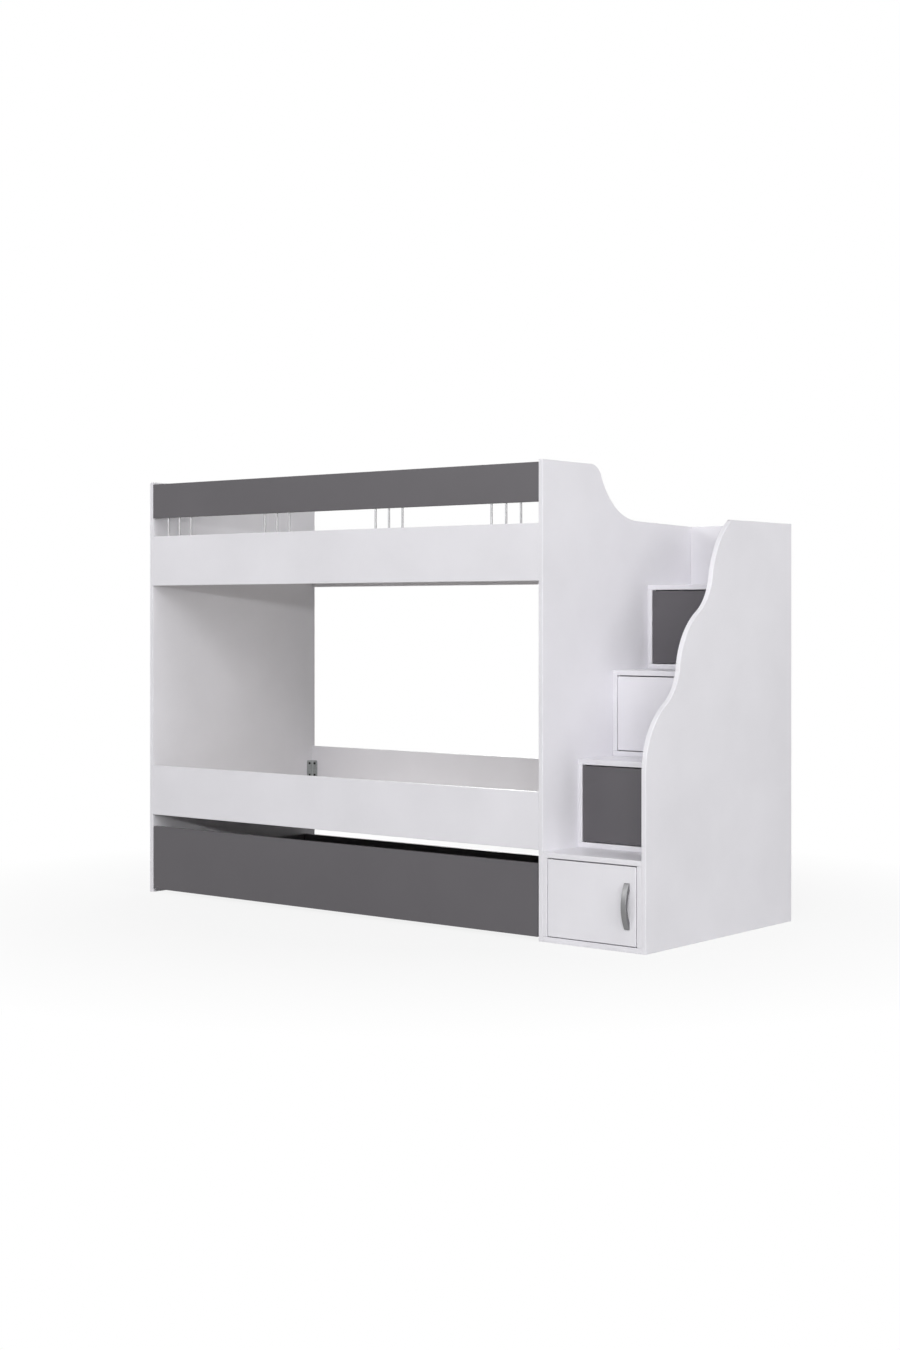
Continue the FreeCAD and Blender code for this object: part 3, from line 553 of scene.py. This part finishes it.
def board_pair(name, node, finishes):
    """Two boards on edge, at the two ends of their solid's length."""
    low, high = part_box(node)
    near = block(name, low, (low.x + BOARD, high.y, high.z))
    far = block(name, (high.x - BOARD, low.y, low.z), high)
    piece = joined(name, [near, far])
    ease(piece, ARRIS)
    return banded(piece, node, 0, finishes)


board("left_end_board", "left_end_panel", 0, white_finishes)
for level in ("lower", "upper"):
    for side in ("front", "back"):
        board("%s_%s_rail_board" % (level, side), "%s_%s_rail" % (level, side), 1, white_finishes)
board("guard_board", "guard_rail", 1, grey_finishes)
board("trundle_front_board", "trundle_front", 1, grey_finishes)
board("trundle_back_board", "trundle_back", 1, grey_finishes)
board("trundle_base_board", "trundle_base", 2, grey_finishes)
board_pair("trundle_side_boards", "trundle_sides", grey_finishes)


# Shaped panels, drawn from the side

def swept_end_board():
    """The panel between bed and stairs, whose top sweeps down from the guard to the landing."""
    node = "stair_end_panel"
    low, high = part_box(node)
    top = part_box("stair_back_panel")[1].z
    both_radii = SWEEP_CORNER + SWEEP_RADIUS
    end = Vector((low.x, low.y + SWEEP_END, top + SWEEP_FALL))
    slope = math.atan2(SWEEP_FALL, high.y - end.y)
    sweep_centre = end + SWEEP_RADIUS * Vector((0, math.sin(slope), math.cos(slope)))
    corner_level = high.z - SWEEP_CORNER
    reach = math.sqrt(both_radii ** 2 - (sweep_centre.z - corner_level) ** 2)
    corner_centre = Vector((low.x, sweep_centre.y - reach, corner_level))
    outline = Outline("swept_end_board", low, (1, 0, 0))
    outline.line_to((low.x, low.y, high.z))
    outline.line_to((low.x, corner_centre.y, high.z))
    outline.arc_to(corner_centre.lerp(sweep_centre, SWEEP_CORNER / both_radii), corner_centre, True)
    outline.arc_to(end, sweep_centre, False)
    outline.line_to((low.x, high.y, top))
    outline.line_to((low.x, high.y, low.z))
    piece = outline.thicken((BOARD, 0, 0))
    ease(piece, ARRIS)
    banded(piece, node, 0, white_finishes)


def front_side(start, end, start_radius, end_radius):
    """The point at given distances from two points, on the front side of the line between them."""
    run = end - start
    along = (start_radius ** 2 - end_radius ** 2 + run.length_squared) / (2 * run.length)
    aside = math.sqrt(start_radius ** 2 - along ** 2)
    unit = run.normalized()
    return start + along * unit + aside * Vector((0, -unit.z, unit.y))


def waved_outer_board():
    """The tower's outer panel, whose front edge climbs the steps in crests and hollows."""
    node = "outer_stair_panel"
    low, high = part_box(node)
    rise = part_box("step_1_tread")[1].z
    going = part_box("step_2_tread")[0].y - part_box("step_1_tread")[0].y
    foot = Vector((low.x, low.y, 2 * rise - WAVE_DROP))
    crest_centre = foot + Vector((0, CREST_RADIUS, 0))
    outline = Outline("waved_outer_board", low, (1, 0, 0))
    outline.line_to(foot)
    for count in (1, 2):
        joint = Vector((low.x, low.y + count * going, (count + 2) * rise + WAVE_LIFT))
        hollow_centre = front_side(crest_centre, joint, CREST_RADIUS + HOLLOW_RADIUS, HOLLOW_RADIUS)
        bend = crest_centre.lerp(hollow_centre, CREST_RADIUS / (CREST_RADIUS + HOLLOW_RADIUS))
        outline.arc_to(bend, crest_centre, True)
        outline.arc_to(joint, hollow_centre, False)
        lean = (joint - hollow_centre) / HOLLOW_RADIUS
        crest_centre = joint + lean * CREST_RADIUS
    shoulder_centre = joint + lean * SHOULDER_RADIUS
    reach = math.sqrt(SHOULDER_RADIUS ** 2 - (high.z - shoulder_centre.z) ** 2)
    outline.arc_to(Vector((low.x, shoulder_centre.y - reach, high.z)), shoulder_centre, True)
    outline.line_to((low.x, high.y, high.z))
    outline.line_to((low.x, high.y, low.z))
    piece = outline.thicken((BOARD, 0, 0))
    ease(piece, ARRIS)
    banded(piece, node, 0, white_finishes)


swept_end_board()
waved_outer_board()


# Fasteners

def screw(name, radius, length, head_radius, crown):
    """An upright pan-head screw with a cross recess, seated at the origin with its point down."""
    piece = bar(name, (0, 0, crown / 4), head_radius, crown / 2, sides=24)
    pick(piece, "FACE", lambda face: face.normal.z > 0.9)
    extrude((0, 0, crown / 2))
    bpy.ops.transform.resize(value=(0.5, 0.5, 1), center_override=(0, 0, crown))
    leave_edit()
    pick(piece, "FACE", lambda face: face.normal.z < -0.9)
    bpy.ops.mesh.inset(thickness=head_radius - radius)
    extrude((0, 0, SCREW_TIP - length))
    extrude((0, 0, -SCREW_TIP))
    bpy.ops.transform.resize(value=(0.08, 0.08, 1), center_override=(0, 0, -length))
    leave_edit()
    wing = head_radius * 0.46
    slot = head_radius * 0.10
    deep = crown * 0.45
    cut(piece, block("recess", (-wing, -slot, deep), (wing, slot, 2 * crown)),
        block("recess", (-slot, -wing, deep), (slot, wing, 2 * crown)))
    select_only(piece)
    bpy.ops.object.shade_smooth_by_angle(angle=math.radians(35))
    return piece


UPRIGHT = (0, 0, 0)
FACING = {"+X": (0, math.pi / 2, 0), "-X": (0, -math.pi / 2, 0),
          "+Y": (-math.pi / 2, 0, 0), "-Y": (math.pi / 2, 0, 0)}

bunk_low = Vector((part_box("lower_front_rail")[0].x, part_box("lower_front_rail")[1].y, 0))
bunk_high = Vector((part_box("lower_front_rail")[1].x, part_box("lower_back_rail")[0].y, 0))
tower_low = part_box("step_1_bottom")[0]
tower_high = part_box("step_1_bottom")[1]
step_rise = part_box("step_1_tread")[1].z


def ledge_screws():
    length = LEDGE_WIDTH + SCREW_BITE
    spots = []
    for level in ("lower", "upper"):
        low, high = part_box(level + "_slat_ledges")
        height = (low.z + high.z) / 2
        run = high.x - low.x - 2 * LEDGE_SCREW_EDGE
        for count in range(LEDGE_SCREW_COUNT):
            along = low.x + LEDGE_SCREW_EDGE + run * count / (LEDGE_SCREW_COUNT - 1)
            spots.append(((along, low.y + LEDGE_WIDTH, height), FACING["+Y"]))
            spots.append(((along, high.y - LEDGE_WIDTH, height), FACING["-Y"]))
    master = screw("ledge_screw", SCREW_RADIUS, length, SCREW_HEAD_RADIUS, SCREW_CROWN)
    dress(copies("ledge_screw_set", master, spots), "ledge_screws", zinc_finish)


def step_screws():
    spots = []
    for step in STEPS:
        low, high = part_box("step_%d_sides" % step)
        height = step * step_rise - step_rise / 2
        for along in (low.y + STEP_SCREW_EDGE, high.y - STEP_SCREW_EDGE):
            spots.append(((low.x + BOARD, along, height), FACING["+X"]))
            spots.append(((high.x - BOARD, along, height), FACING["-X"]))
    master = screw("step_screw", SCREW_RADIUS, BOARD + SCREW_BITE, SCREW_HEAD_RADIUS, SCREW_CROWN)
    dress(copies("step_screw_set", master, spots), "step_screws", zinc_finish)


def back_screw_spots():
    levels = [BOARD / 2] + [step * step_rise - BOARD / 2 for step in STEPS]
    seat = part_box("stair_back_panel")[1].y - BACK_SCREW_CROWN
    return [(across, seat, level) for level in levels
            for across in (tower_low.x + BACK_SCREW_INSET, tower_high.x - BACK_SCREW_INSET)]


def stair_back():
    """The tower's back panel, with its screws sunk flush."""
    sinks = [bar("sink", (x, y + BACK_SCREW_CROWN, z), BACK_SCREW_HEAD_RADIUS + FIT, 2 * BACK_SCREW_CROWN,
                 turn=FACING["+Y"]) for x, y, z in back_screw_spots()]
    board("stair_back_board", "stair_back_panel", 1, white_finishes, sinks)
    master = screw("back_screw", BACK_SCREW_RADIUS, BACK_SCREW_LENGTH, BACK_SCREW_HEAD_RADIUS,
                   BACK_SCREW_CROWN)
    spots = [(spot, FACING["+Y"]) for spot in back_screw_spots()]
    dress(copies("back_screw_set", master, spots), "back_panel_screws", zinc_finish)


ledge_screws()
step_screws()
stair_back()


# Corner brackets: one pressed angle and its four screws, copied to the eight corners of the bunks

def bracket_angle():
    outline = Outline("bracket_angle", (0, 0, 0), (0, 0, 1))
    for spot in ((BRACKET_LEAF, 0, 0), (BRACKET_LEAF, BRACKET_STEEL, 0), (BRACKET_STEEL, BRACKET_STEEL, 0),
                 (BRACKET_STEEL, BRACKET_LEAF, 0), (0, BRACKET_LEAF, 0)):
        outline.line_to(spot)
    piece = outline.thicken((0, 0, BRACKET_HEIGHT))
    pick(piece, "EDGE", lambda a, b: abs(a.z - b.z) < NEAR
         and min(a.x + a.y, b.x + b.y) > BRACKET_LEAF - NEAR)
    bpy.ops.mesh.bevel(offset=BRACKET_CORNER, segments=6, affect="EDGES")
    leave_edit()
    pick(piece, "EDGE", lambda a, b: abs(a.z - b.z) > BRACKET_HEIGHT / 2
         and max(abs(a.x - BRACKET_STEEL), abs(a.y - BRACKET_STEEL)) < NEAR)
    bpy.ops.mesh.bevel(offset=BRACKET_BEND, segments=5, affect="EDGES")
    leave_edit()
    ease(piece, STEEL_ARRIS, segments=2)
    even_shading(piece)
    return piece


def bracket_screw_spots():
    heights = (BRACKET_SCREW_EDGE, BRACKET_HEIGHT - BRACKET_SCREW_EDGE)
    spots = [((BRACKET_SCREW_OUT, BRACKET_STEEL, height), FACING["+Y"]) for height in heights]
    return spots + [((BRACKET_STEEL, BRACKET_SCREW_OUT, height), FACING["+X"]) for height in heights]


def corner_fittings():
    low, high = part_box("corner_brackets")
    corners = ((bunk_low.x, bunk_low.y, 0), (bunk_high.x, bunk_low.y, math.pi / 2),
               (bunk_high.x, bunk_high.y, math.pi), (bunk_low.x, bunk_high.y, -math.pi / 2))
    spots = [((x, y, level), (0, 0, turn))
             for level in (low.z, high.z - BRACKET_HEIGHT) for x, y, turn in corners]
    master = screw("bracket_screw", BRACKET_SCREW_RADIUS, BRACKET_STEEL + SCREW_BITE,
                   BRACKET_SCREW_HEAD_RADIUS, BRACKET_SCREW_CROWN)
    four_screws = copies("bracket_screw_four", master, bracket_screw_spots())
    dress(copies("corner_bracket_set", bracket_angle(), spots), "corner_brackets", zinc_finish)
    dress(copies("bracket_screw_set", four_screws, spots), "bracket_screws", dark_screw_finish)


corner_fittings()


# Guard rods

def guard_rod_set():
    low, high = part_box("guard_rods")
    middle = Vector((0, (low.y + high.y) / 2, (low.z + high.z) / 2))
    rod = bar("guard_rod", (0, 0, 0), ROD_RADIUS, high.z - low.z)
    ease(rod, ROD_ARRIS)
    even_shading(rod)
    bunk_middle = (bunk_low.x + bunk_high.x) / 2
    outer = (bunk_high.x - bunk_low.x) / 2 - ROD_GROUP_EDGE
    spots = [((bunk_middle + centre + shift * ROD_SPACING, middle.y, middle.z), UPRIGHT)
             for centre in (-outer, -ROD_GROUP_INNER, ROD_GROUP_INNER, outer) for shift in (-1, 0, 1)]
    dress(copies("guard_rod_set", rod, spots), "guard_rods", rod_finish)


guard_rod_set()


# Slats and ledges

def as_plank(piece):
    """Mark a plank so that its grain differs from its neighbours'."""
    mark = piece.data.attributes.new("plank", "FLOAT", "FACE")
    mark.data.foreach_set("value", [dice.uniform(0, 40)] * len(piece.data.polygons))
    return piece


def slat_base(level):
    low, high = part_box(level + "_slats")
    pitch = (high.x - low.x - SLAT_WIDTH) / (SLAT_COUNT - 1)
    slats = []
    for count in range(SLAT_COUNT):
        near = low.x + count * pitch
        slat = block(level + "_slat", (near, low.y, low.z), (near + SLAT_WIDTH, high.y, high.z))
        ease(slat, SLAT_ARRIS, segments=4)
        slats.append(as_plank(slat))
    slat_set = joined(level + "_slat_set", slats)
    even_shading(slat_set)
    dress(slat_set, level + "_slats", slat_finish)
    low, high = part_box(level + "_slat_ledges")
    ledges = [block(level + "_ledge", low, (high.x, low.y + LEDGE_WIDTH, high.z)),
              block(level + "_ledge", (low.x, high.y - LEDGE_WIDTH, low.z), high)]
    for ledge in ledges:
        ease(ledge, LEDGE_ARRIS)
        as_plank(ledge)
    ledge_set = joined(level + "_ledge_set", ledges)
    even_shading(ledge_set)
    dress(ledge_set, level + "_slat_ledges", ledge_finish)


slat_base("lower")
slat_base("upper")


# Cupboards of the stair tower

def cupboard(step):
    """One cupboard: its bottom, sides and tread, with sockets for the bushes that its door turns in."""
    pins_low, pins_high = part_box("door_%d_pivot_pins" % step)
    pivot = (pins_low + pins_high) / 2
    floor_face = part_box("step_%d_bottom" % step)[1].z
    roof_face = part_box("step_%d_tread" % step)[0].z
    sockets = [bar("socket", (pivot.x, pivot.y, face), BUSH_RADIUS + FIT, 2 * BUSH_LENGTH)
               for face in (floor_face, roof_face)]
    board("step_%d_bottom_board" % step, "step_%d_bottom" % step, 2, white_finishes, sockets[:1])
    board("step_%d_tread_board" % step, "step_%d_tread" % step, 2, white_finishes, sockets[1:])
    board_pair("step_%d_side_boards" % step, "step_%d_sides" % step, white_finishes)


for step in STEPS:
    cupboard(step)


# Doors and their bow handles

def bow_handle():
    """A bow handle about its middle, on the plane of its feet: a crescent with blunt, rounded ends."""
    low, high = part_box("door_1_handle")
    half = (high.z - low.z) / 2
    reach = high.y - low.y
    width = high.x - low.x
    inner_half = half - HANDLE_FOOT
    grip = reach - HANDLE_BOW
    rise = reach - HANDLE_END
    outer_radius = (half ** 2 + rise ** 2) / (2 * rise)
    inner_radius = (inner_half ** 2 + grip ** 2) / (2 * grip)
    side = -width / 2
    outline = Outline("bow_handle", (side, 0, -half), (1, 0, 0))
    outline.line_to((side, -HANDLE_END, -half))
    outline.arc_to((side, -HANDLE_END, half), (side, outer_radius - reach, 0), True, steps=40)
    outline.line_to((side, 0, half))
    outline.line_to((side, 0, inner_half))
    outline.arc_to((side, 0, -inner_half), (side, inner_radius - grip, 0), False, steps=32)
    piece = outline.thicken((width, 0, 0))
    pick(piece, "FACE", lambda face: abs(face.normal.x) > 0.9)
    bpy.ops.mesh.vert_connect_concave()
    leave_edit()
    ease(piece, HANDLE_ARRIS, segments=5)
    even_shading(piece)
    return piece


def door(step, finishes, handle_master, screw_master):
    board("door_%d_board" % step, "door_%d_panel" % step, 1, finishes)
    low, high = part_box("door_%d_handle" % step)
    middle = (low + high) / 2
    handle = copy_to(handle_master, (middle.x, high.y, middle.z))
    handle.name = "door_%d_bow_handle" % step
    dress(handle, "door_%d_handle" % step, handle_finish)
    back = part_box("door_%d_panel" % step)[1].y
    reach = (high.z - low.z - HANDLE_FOOT) / 2
    screws = [copy_to(screw_master, (middle.x, back, middle.z + shift), FACING["+Y"])
              for shift in (-reach, reach)]
    screw_pair = joined("door_%d_handle_screw_pair" % step, screws)
    dress(screw_pair, "door_%d_handle_screws" % step, zinc_finish)


handle_master = bow_handle()
handle_screw_master = screw("handle_screw", SCREW_RADIUS, BOARD + HANDLE_SCREW_BITE,
                            SCREW_HEAD_RADIUS, SCREW_CROWN)
for step in STEPS:
    door(step, white_finishes if step % 2 else grey_finishes, handle_master, handle_screw_master)
bpy.data.objects.remove(handle_master)
bpy.data.objects.remove(handle_screw_master)


# Castors

wheel_boxes = [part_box("castor_wheel_%d" % count) for count in CASTORS]
castor_spots = [(low + high) / 2 for low, high in wheel_boxes]


def castor_wheel():
    """A moulded wheel about its middle: a crowned tread, dished sides, a hub and a bore."""
    low, high = wheel_boxes[0]
    radius = (high.z - low.z) / 2
    width = high.x - low.x
    hub_radius = radius - WHEEL_RIM - WHEEL_DISH_SLOPE - WHEEL_DISH - WHEEL_HUB_SLOPE
    piece = bar("castor_wheel", (0, 0, 0), radius, width, turn=(0, math.pi / 2, 0), sides=64)
    for side in (-1, 1):
        pick(piece, "FACE", lambda face: face.normal.x * side > 0.9)
        bpy.ops.mesh.inset(thickness=WHEEL_RIM)
        bpy.ops.mesh.inset(thickness=WHEEL_DISH_SLOPE)
        bpy.ops.transform.translate(value=(-WHEEL_DISH_DEPTH * side, 0, 0))
        bpy.ops.mesh.inset(thickness=WHEEL_DISH)
        bpy.ops.mesh.inset(thickness=WHEEL_HUB_SLOPE)
        bpy.ops.transform.translate(value=(WHEEL_HUB_HEIGHT * side, 0, 0))
        bpy.ops.mesh.inset(thickness=hub_radius - AXLE_RADIUS - FIT)
        leave_edit()
    pick(piece, "FACE", lambda face: abs(face.normal.x) > 0.9 and face.center.yz.length < NEAR)
    bpy.ops.mesh.bridge_edge_loops()
    leave_edit()
    ease(piece, WHEEL_ARRIS, segments=4, sharper_than=60)
    even_shading(piece)
    return piece


def castor_fork():
    """A pressed fork about its wheel's middle: a plate with two rounded cheeks, bored for the axle."""
    low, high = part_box("castor_forks")
    spot = castor_spots[0]
    top = high.z - spot.z
    foot = low.z - spot.z
    wide = CASTOR_GAP / 2 + CASTOR_STEEL
    deep = CASTOR_PLATE / 2
    piece = block("castor_fork", (-wide, -deep, top - CASTOR_STEEL), (wide, deep, top))
    bpy.ops.object.mode_set(mode="EDIT")
    for half, across in ((CASTOR_GAP / 2, Vector((1, 0, 0))), (CASTOR_CHEEK / 2, Vector((0, 1, 0)))):
        for offset in (half, -half):
            bpy.ops.mesh.select_all(action="SELECT")
            bpy.ops.mesh.bisect(plane_co=offset * across, plane_no=across)
    leave_edit()
    pick(piece, "FACE", lambda face: face.normal.z < -0.9 and abs(face.center.x) > CASTOR_GAP / 2
         and abs(face.center.y) < CASTOR_CHEEK / 2)
    extrude((0, 0, foot - top + CASTOR_STEEL))
    leave_edit()
    pick(piece, "EDGE", lambda a, b: abs(a.x - b.x) > NEAR and max(a.z, b.z) < foot + NEAR)
    bpy.ops.mesh.bevel(offset=CASTOR_CHEEK_CORNER, segments=6, affect="EDGES")
    leave_edit()
    pick(piece, "EDGE", lambda a, b: abs(a.z - b.z) > NEAR and min(abs(a.y), abs(b.y)) > deep - NEAR)
    bpy.ops.mesh.bevel(offset=CASTOR_PLATE_CORNER, segments=5, affect="EDGES")
    leave_edit()
    cut(piece, bar("bore", (0, 0, 0), AXLE_RADIUS + FIT, 4 * wide, turn=(0, math.pi / 2, 0)))
    ease(piece, STEEL_ARRIS, segments=2)
    even_shading(piece)
    return piece


wheel_master = castor_wheel()
for count, spot in zip(CASTORS, castor_spots):
    wheel = copy_to(wheel_master, spot)
    wheel.name = "castor_tyre_%d" % count
    dress(wheel, "castor_wheel_%d" % count, plastic_finish)
bpy.data.objects.remove(wheel_master)
fork_set = copies("castor_fork_set", castor_fork(), [(spot, UPRIGHT) for spot in castor_spots])
dress(fork_set, "castor_forks", zinc_finish)


# Solids that stay as they are, with their finishes

kept = {"dowels": ledge_finish, "door_pivot_bushes": plastic_finish, "castor_axles": zinc_finish}
kept.update(("door_%d_pivot_pins" % step, zinc_finish) for step in STEPS)
for node, finish in kept.items():
    frame["nodes"][node].data.materials.clear()
    frame["nodes"][node].data.materials.append(finish)


# Studio

def looking_rays(tree):
    """A factor of 1 for what looks at the backdrop: the camera, also by way of metal and glass."""
    path = tree.nodes.new("ShaderNodeLightPath")
    factor = path.outputs["Is Camera Ray"]
    for kind in ("Is Glossy Ray", "Is Transmission Ray"):
        either = tree.nodes.new("ShaderNodeMath")
        either.operation = "MAXIMUM"
        tree.links.new(factor, either.inputs[0])
        tree.links.new(path.outputs[kind], either.inputs[1])
        factor = either.outputs["Value"]
    return factor


def studio_world(side, strength):
    """A white backdrop for what looks at it, and for the object a broad soft light from one side."""
    world = bpy.data.worlds.new("studio_world")
    bpy.context.scene.world = world
    world.use_nodes = True
    tree = world.node_tree
    facing = tree.nodes.new("ShaderNodeVectorMath")
    facing.operation = "DOT_PRODUCT"
    facing.inputs[1].default_value = side
    tree.links.new(tree.nodes.new("ShaderNodeTexCoord").outputs["Generated"], facing.inputs[0])
    falloff = tree.nodes.new("ShaderNodeMapRange")
    falloff.inputs["To Max"].default_value = strength
    tree.links.new(facing.outputs["Value"], falloff.inputs["Value"])
    side_light = tree.nodes["Background"]
    side_light.inputs["Color"].default_value = (1.0, 1.0, 1.0, 1.0)
    tree.links.new(falloff.outputs["Result"], side_light.inputs["Strength"])
    backdrop = tree.nodes.new("ShaderNodeBackground")
    backdrop.inputs["Color"].default_value = (1.0, 1.0, 1.0, 1.0)
    backdrop.inputs["Strength"].default_value = 1.0
    choice = tree.nodes.new("ShaderNodeMixShader")
    tree.links.new(looking_rays(tree), choice.inputs[0])
    tree.links.new(side_light.outputs["Background"], choice.inputs[1])
    tree.links.new(backdrop.outputs["Background"], choice.inputs[2])
    tree.links.new(choice.outputs["Shader"], tree.nodes["World Output"].inputs["Surface"])


def studio_floor():
    """A pale floor that keeps the object's shadow near it and fades into the white backdrop."""
    deselect()
    bpy.ops.mesh.primitive_plane_add(size=120)
    floor = bpy.context.object
    floor.name = "studio_floor"
    finish = Finish("pale_floor", roughness=0.9, specular_ior_level=0.0)
    grain = finish.noise(40.0, detail=4.0)
    tone = finish.tones(grain, (0.3, (0.55, 0.55, 0.55)), (0.7, (0.58, 0.58, 0.58)))
    finish.wire(base_color=tone)
    tree = finish.tree
    glow = finish.add("ShaderNodeEmission", {"Color": (1.0, 1.0, 1.0, 1.0), "Strength": 1.0})
    away = finish.add("ShaderNodeVectorMath", {0: finish.place}, operation="LENGTH").outputs["Value"]
    fade = finish.span(away, 0.86, 1.0, start=1.0, end=2.4)
    bare = finish.sums(fade, looking_rays(tree), "MULTIPLY")
    choice = finish.add("ShaderNodeMixShader", {0: bare, 1: finish.shader.outputs["BSDF"],
                                                2: glow.outputs["Emission"]})
    tree.links.new(choice.outputs["Shader"], tree.nodes["Material Output"].inputs["Surface"])
    floor.data.materials.append(finish.material)


def softbox(name, spot, aim, size, power):
    """A soft rectangular lamp that faces a point."""
    bpy.ops.object.light_add(type="AREA", location=spot)
    lamp = bpy.context.object
    lamp.name = name
    lamp.data.shape = "RECTANGLE"
    lamp.data.size = size[0]
    lamp.data.size_y = size[1]
    lamp.data.energy = power
    lamp.rotation_euler = (Vector(aim) - Vector(spot)).to_track_quat("-Z", "Y").to_euler()


studio_world((0.8, -0.6, 0.0), 0.5)
studio_floor()
bed_middle = (0.0, 0.0, 0.8)
softbox("main_strip", (7.1, -6.12, 1.79), (7.1, 0.0, 0.9), (5.2, 0.2), 215.0)
softbox("fill_lamp", (-3.0, -6.12, 3.4), (-3.0, 0.0, 0.9), (3.0, 0.6), 112.0)
softbox("high_lamp", (4.5, -10.0, 7.8), bed_middle, (5.0, 5.0), 450.0)
softbox("side_lamp", (9.0, -3.0, 2.4), bed_middle, (3.0, 3.0), 138.0)
softbox("stair_lamp", (5.0, -1.5, 6.0), (0.8, 0.0, 0.9), (2.0, 2.0), 100.0)
softbox("left_lamp", (-9.0, 1.0, 2.0), bed_middle, (3.0, 3.0), 220.0)
softbox("back_lamp", (-3.5, 6.5, 2.6), bed_middle, (3.0, 3.0), 190.0)

bpy.ops.object.camera_add(location=CAMERA_SPOT,
                          rotation=(math.pi / 2, 0, math.radians(CAMERA_TURN)))
camera = bpy.context.object
camera.data.lens = CAMERA_LENS
camera.data.shift_y = CAMERA_SHIFT
bpy.context.scene.camera = camera
bpy.context.scene.view_settings.view_transform = "Standard"
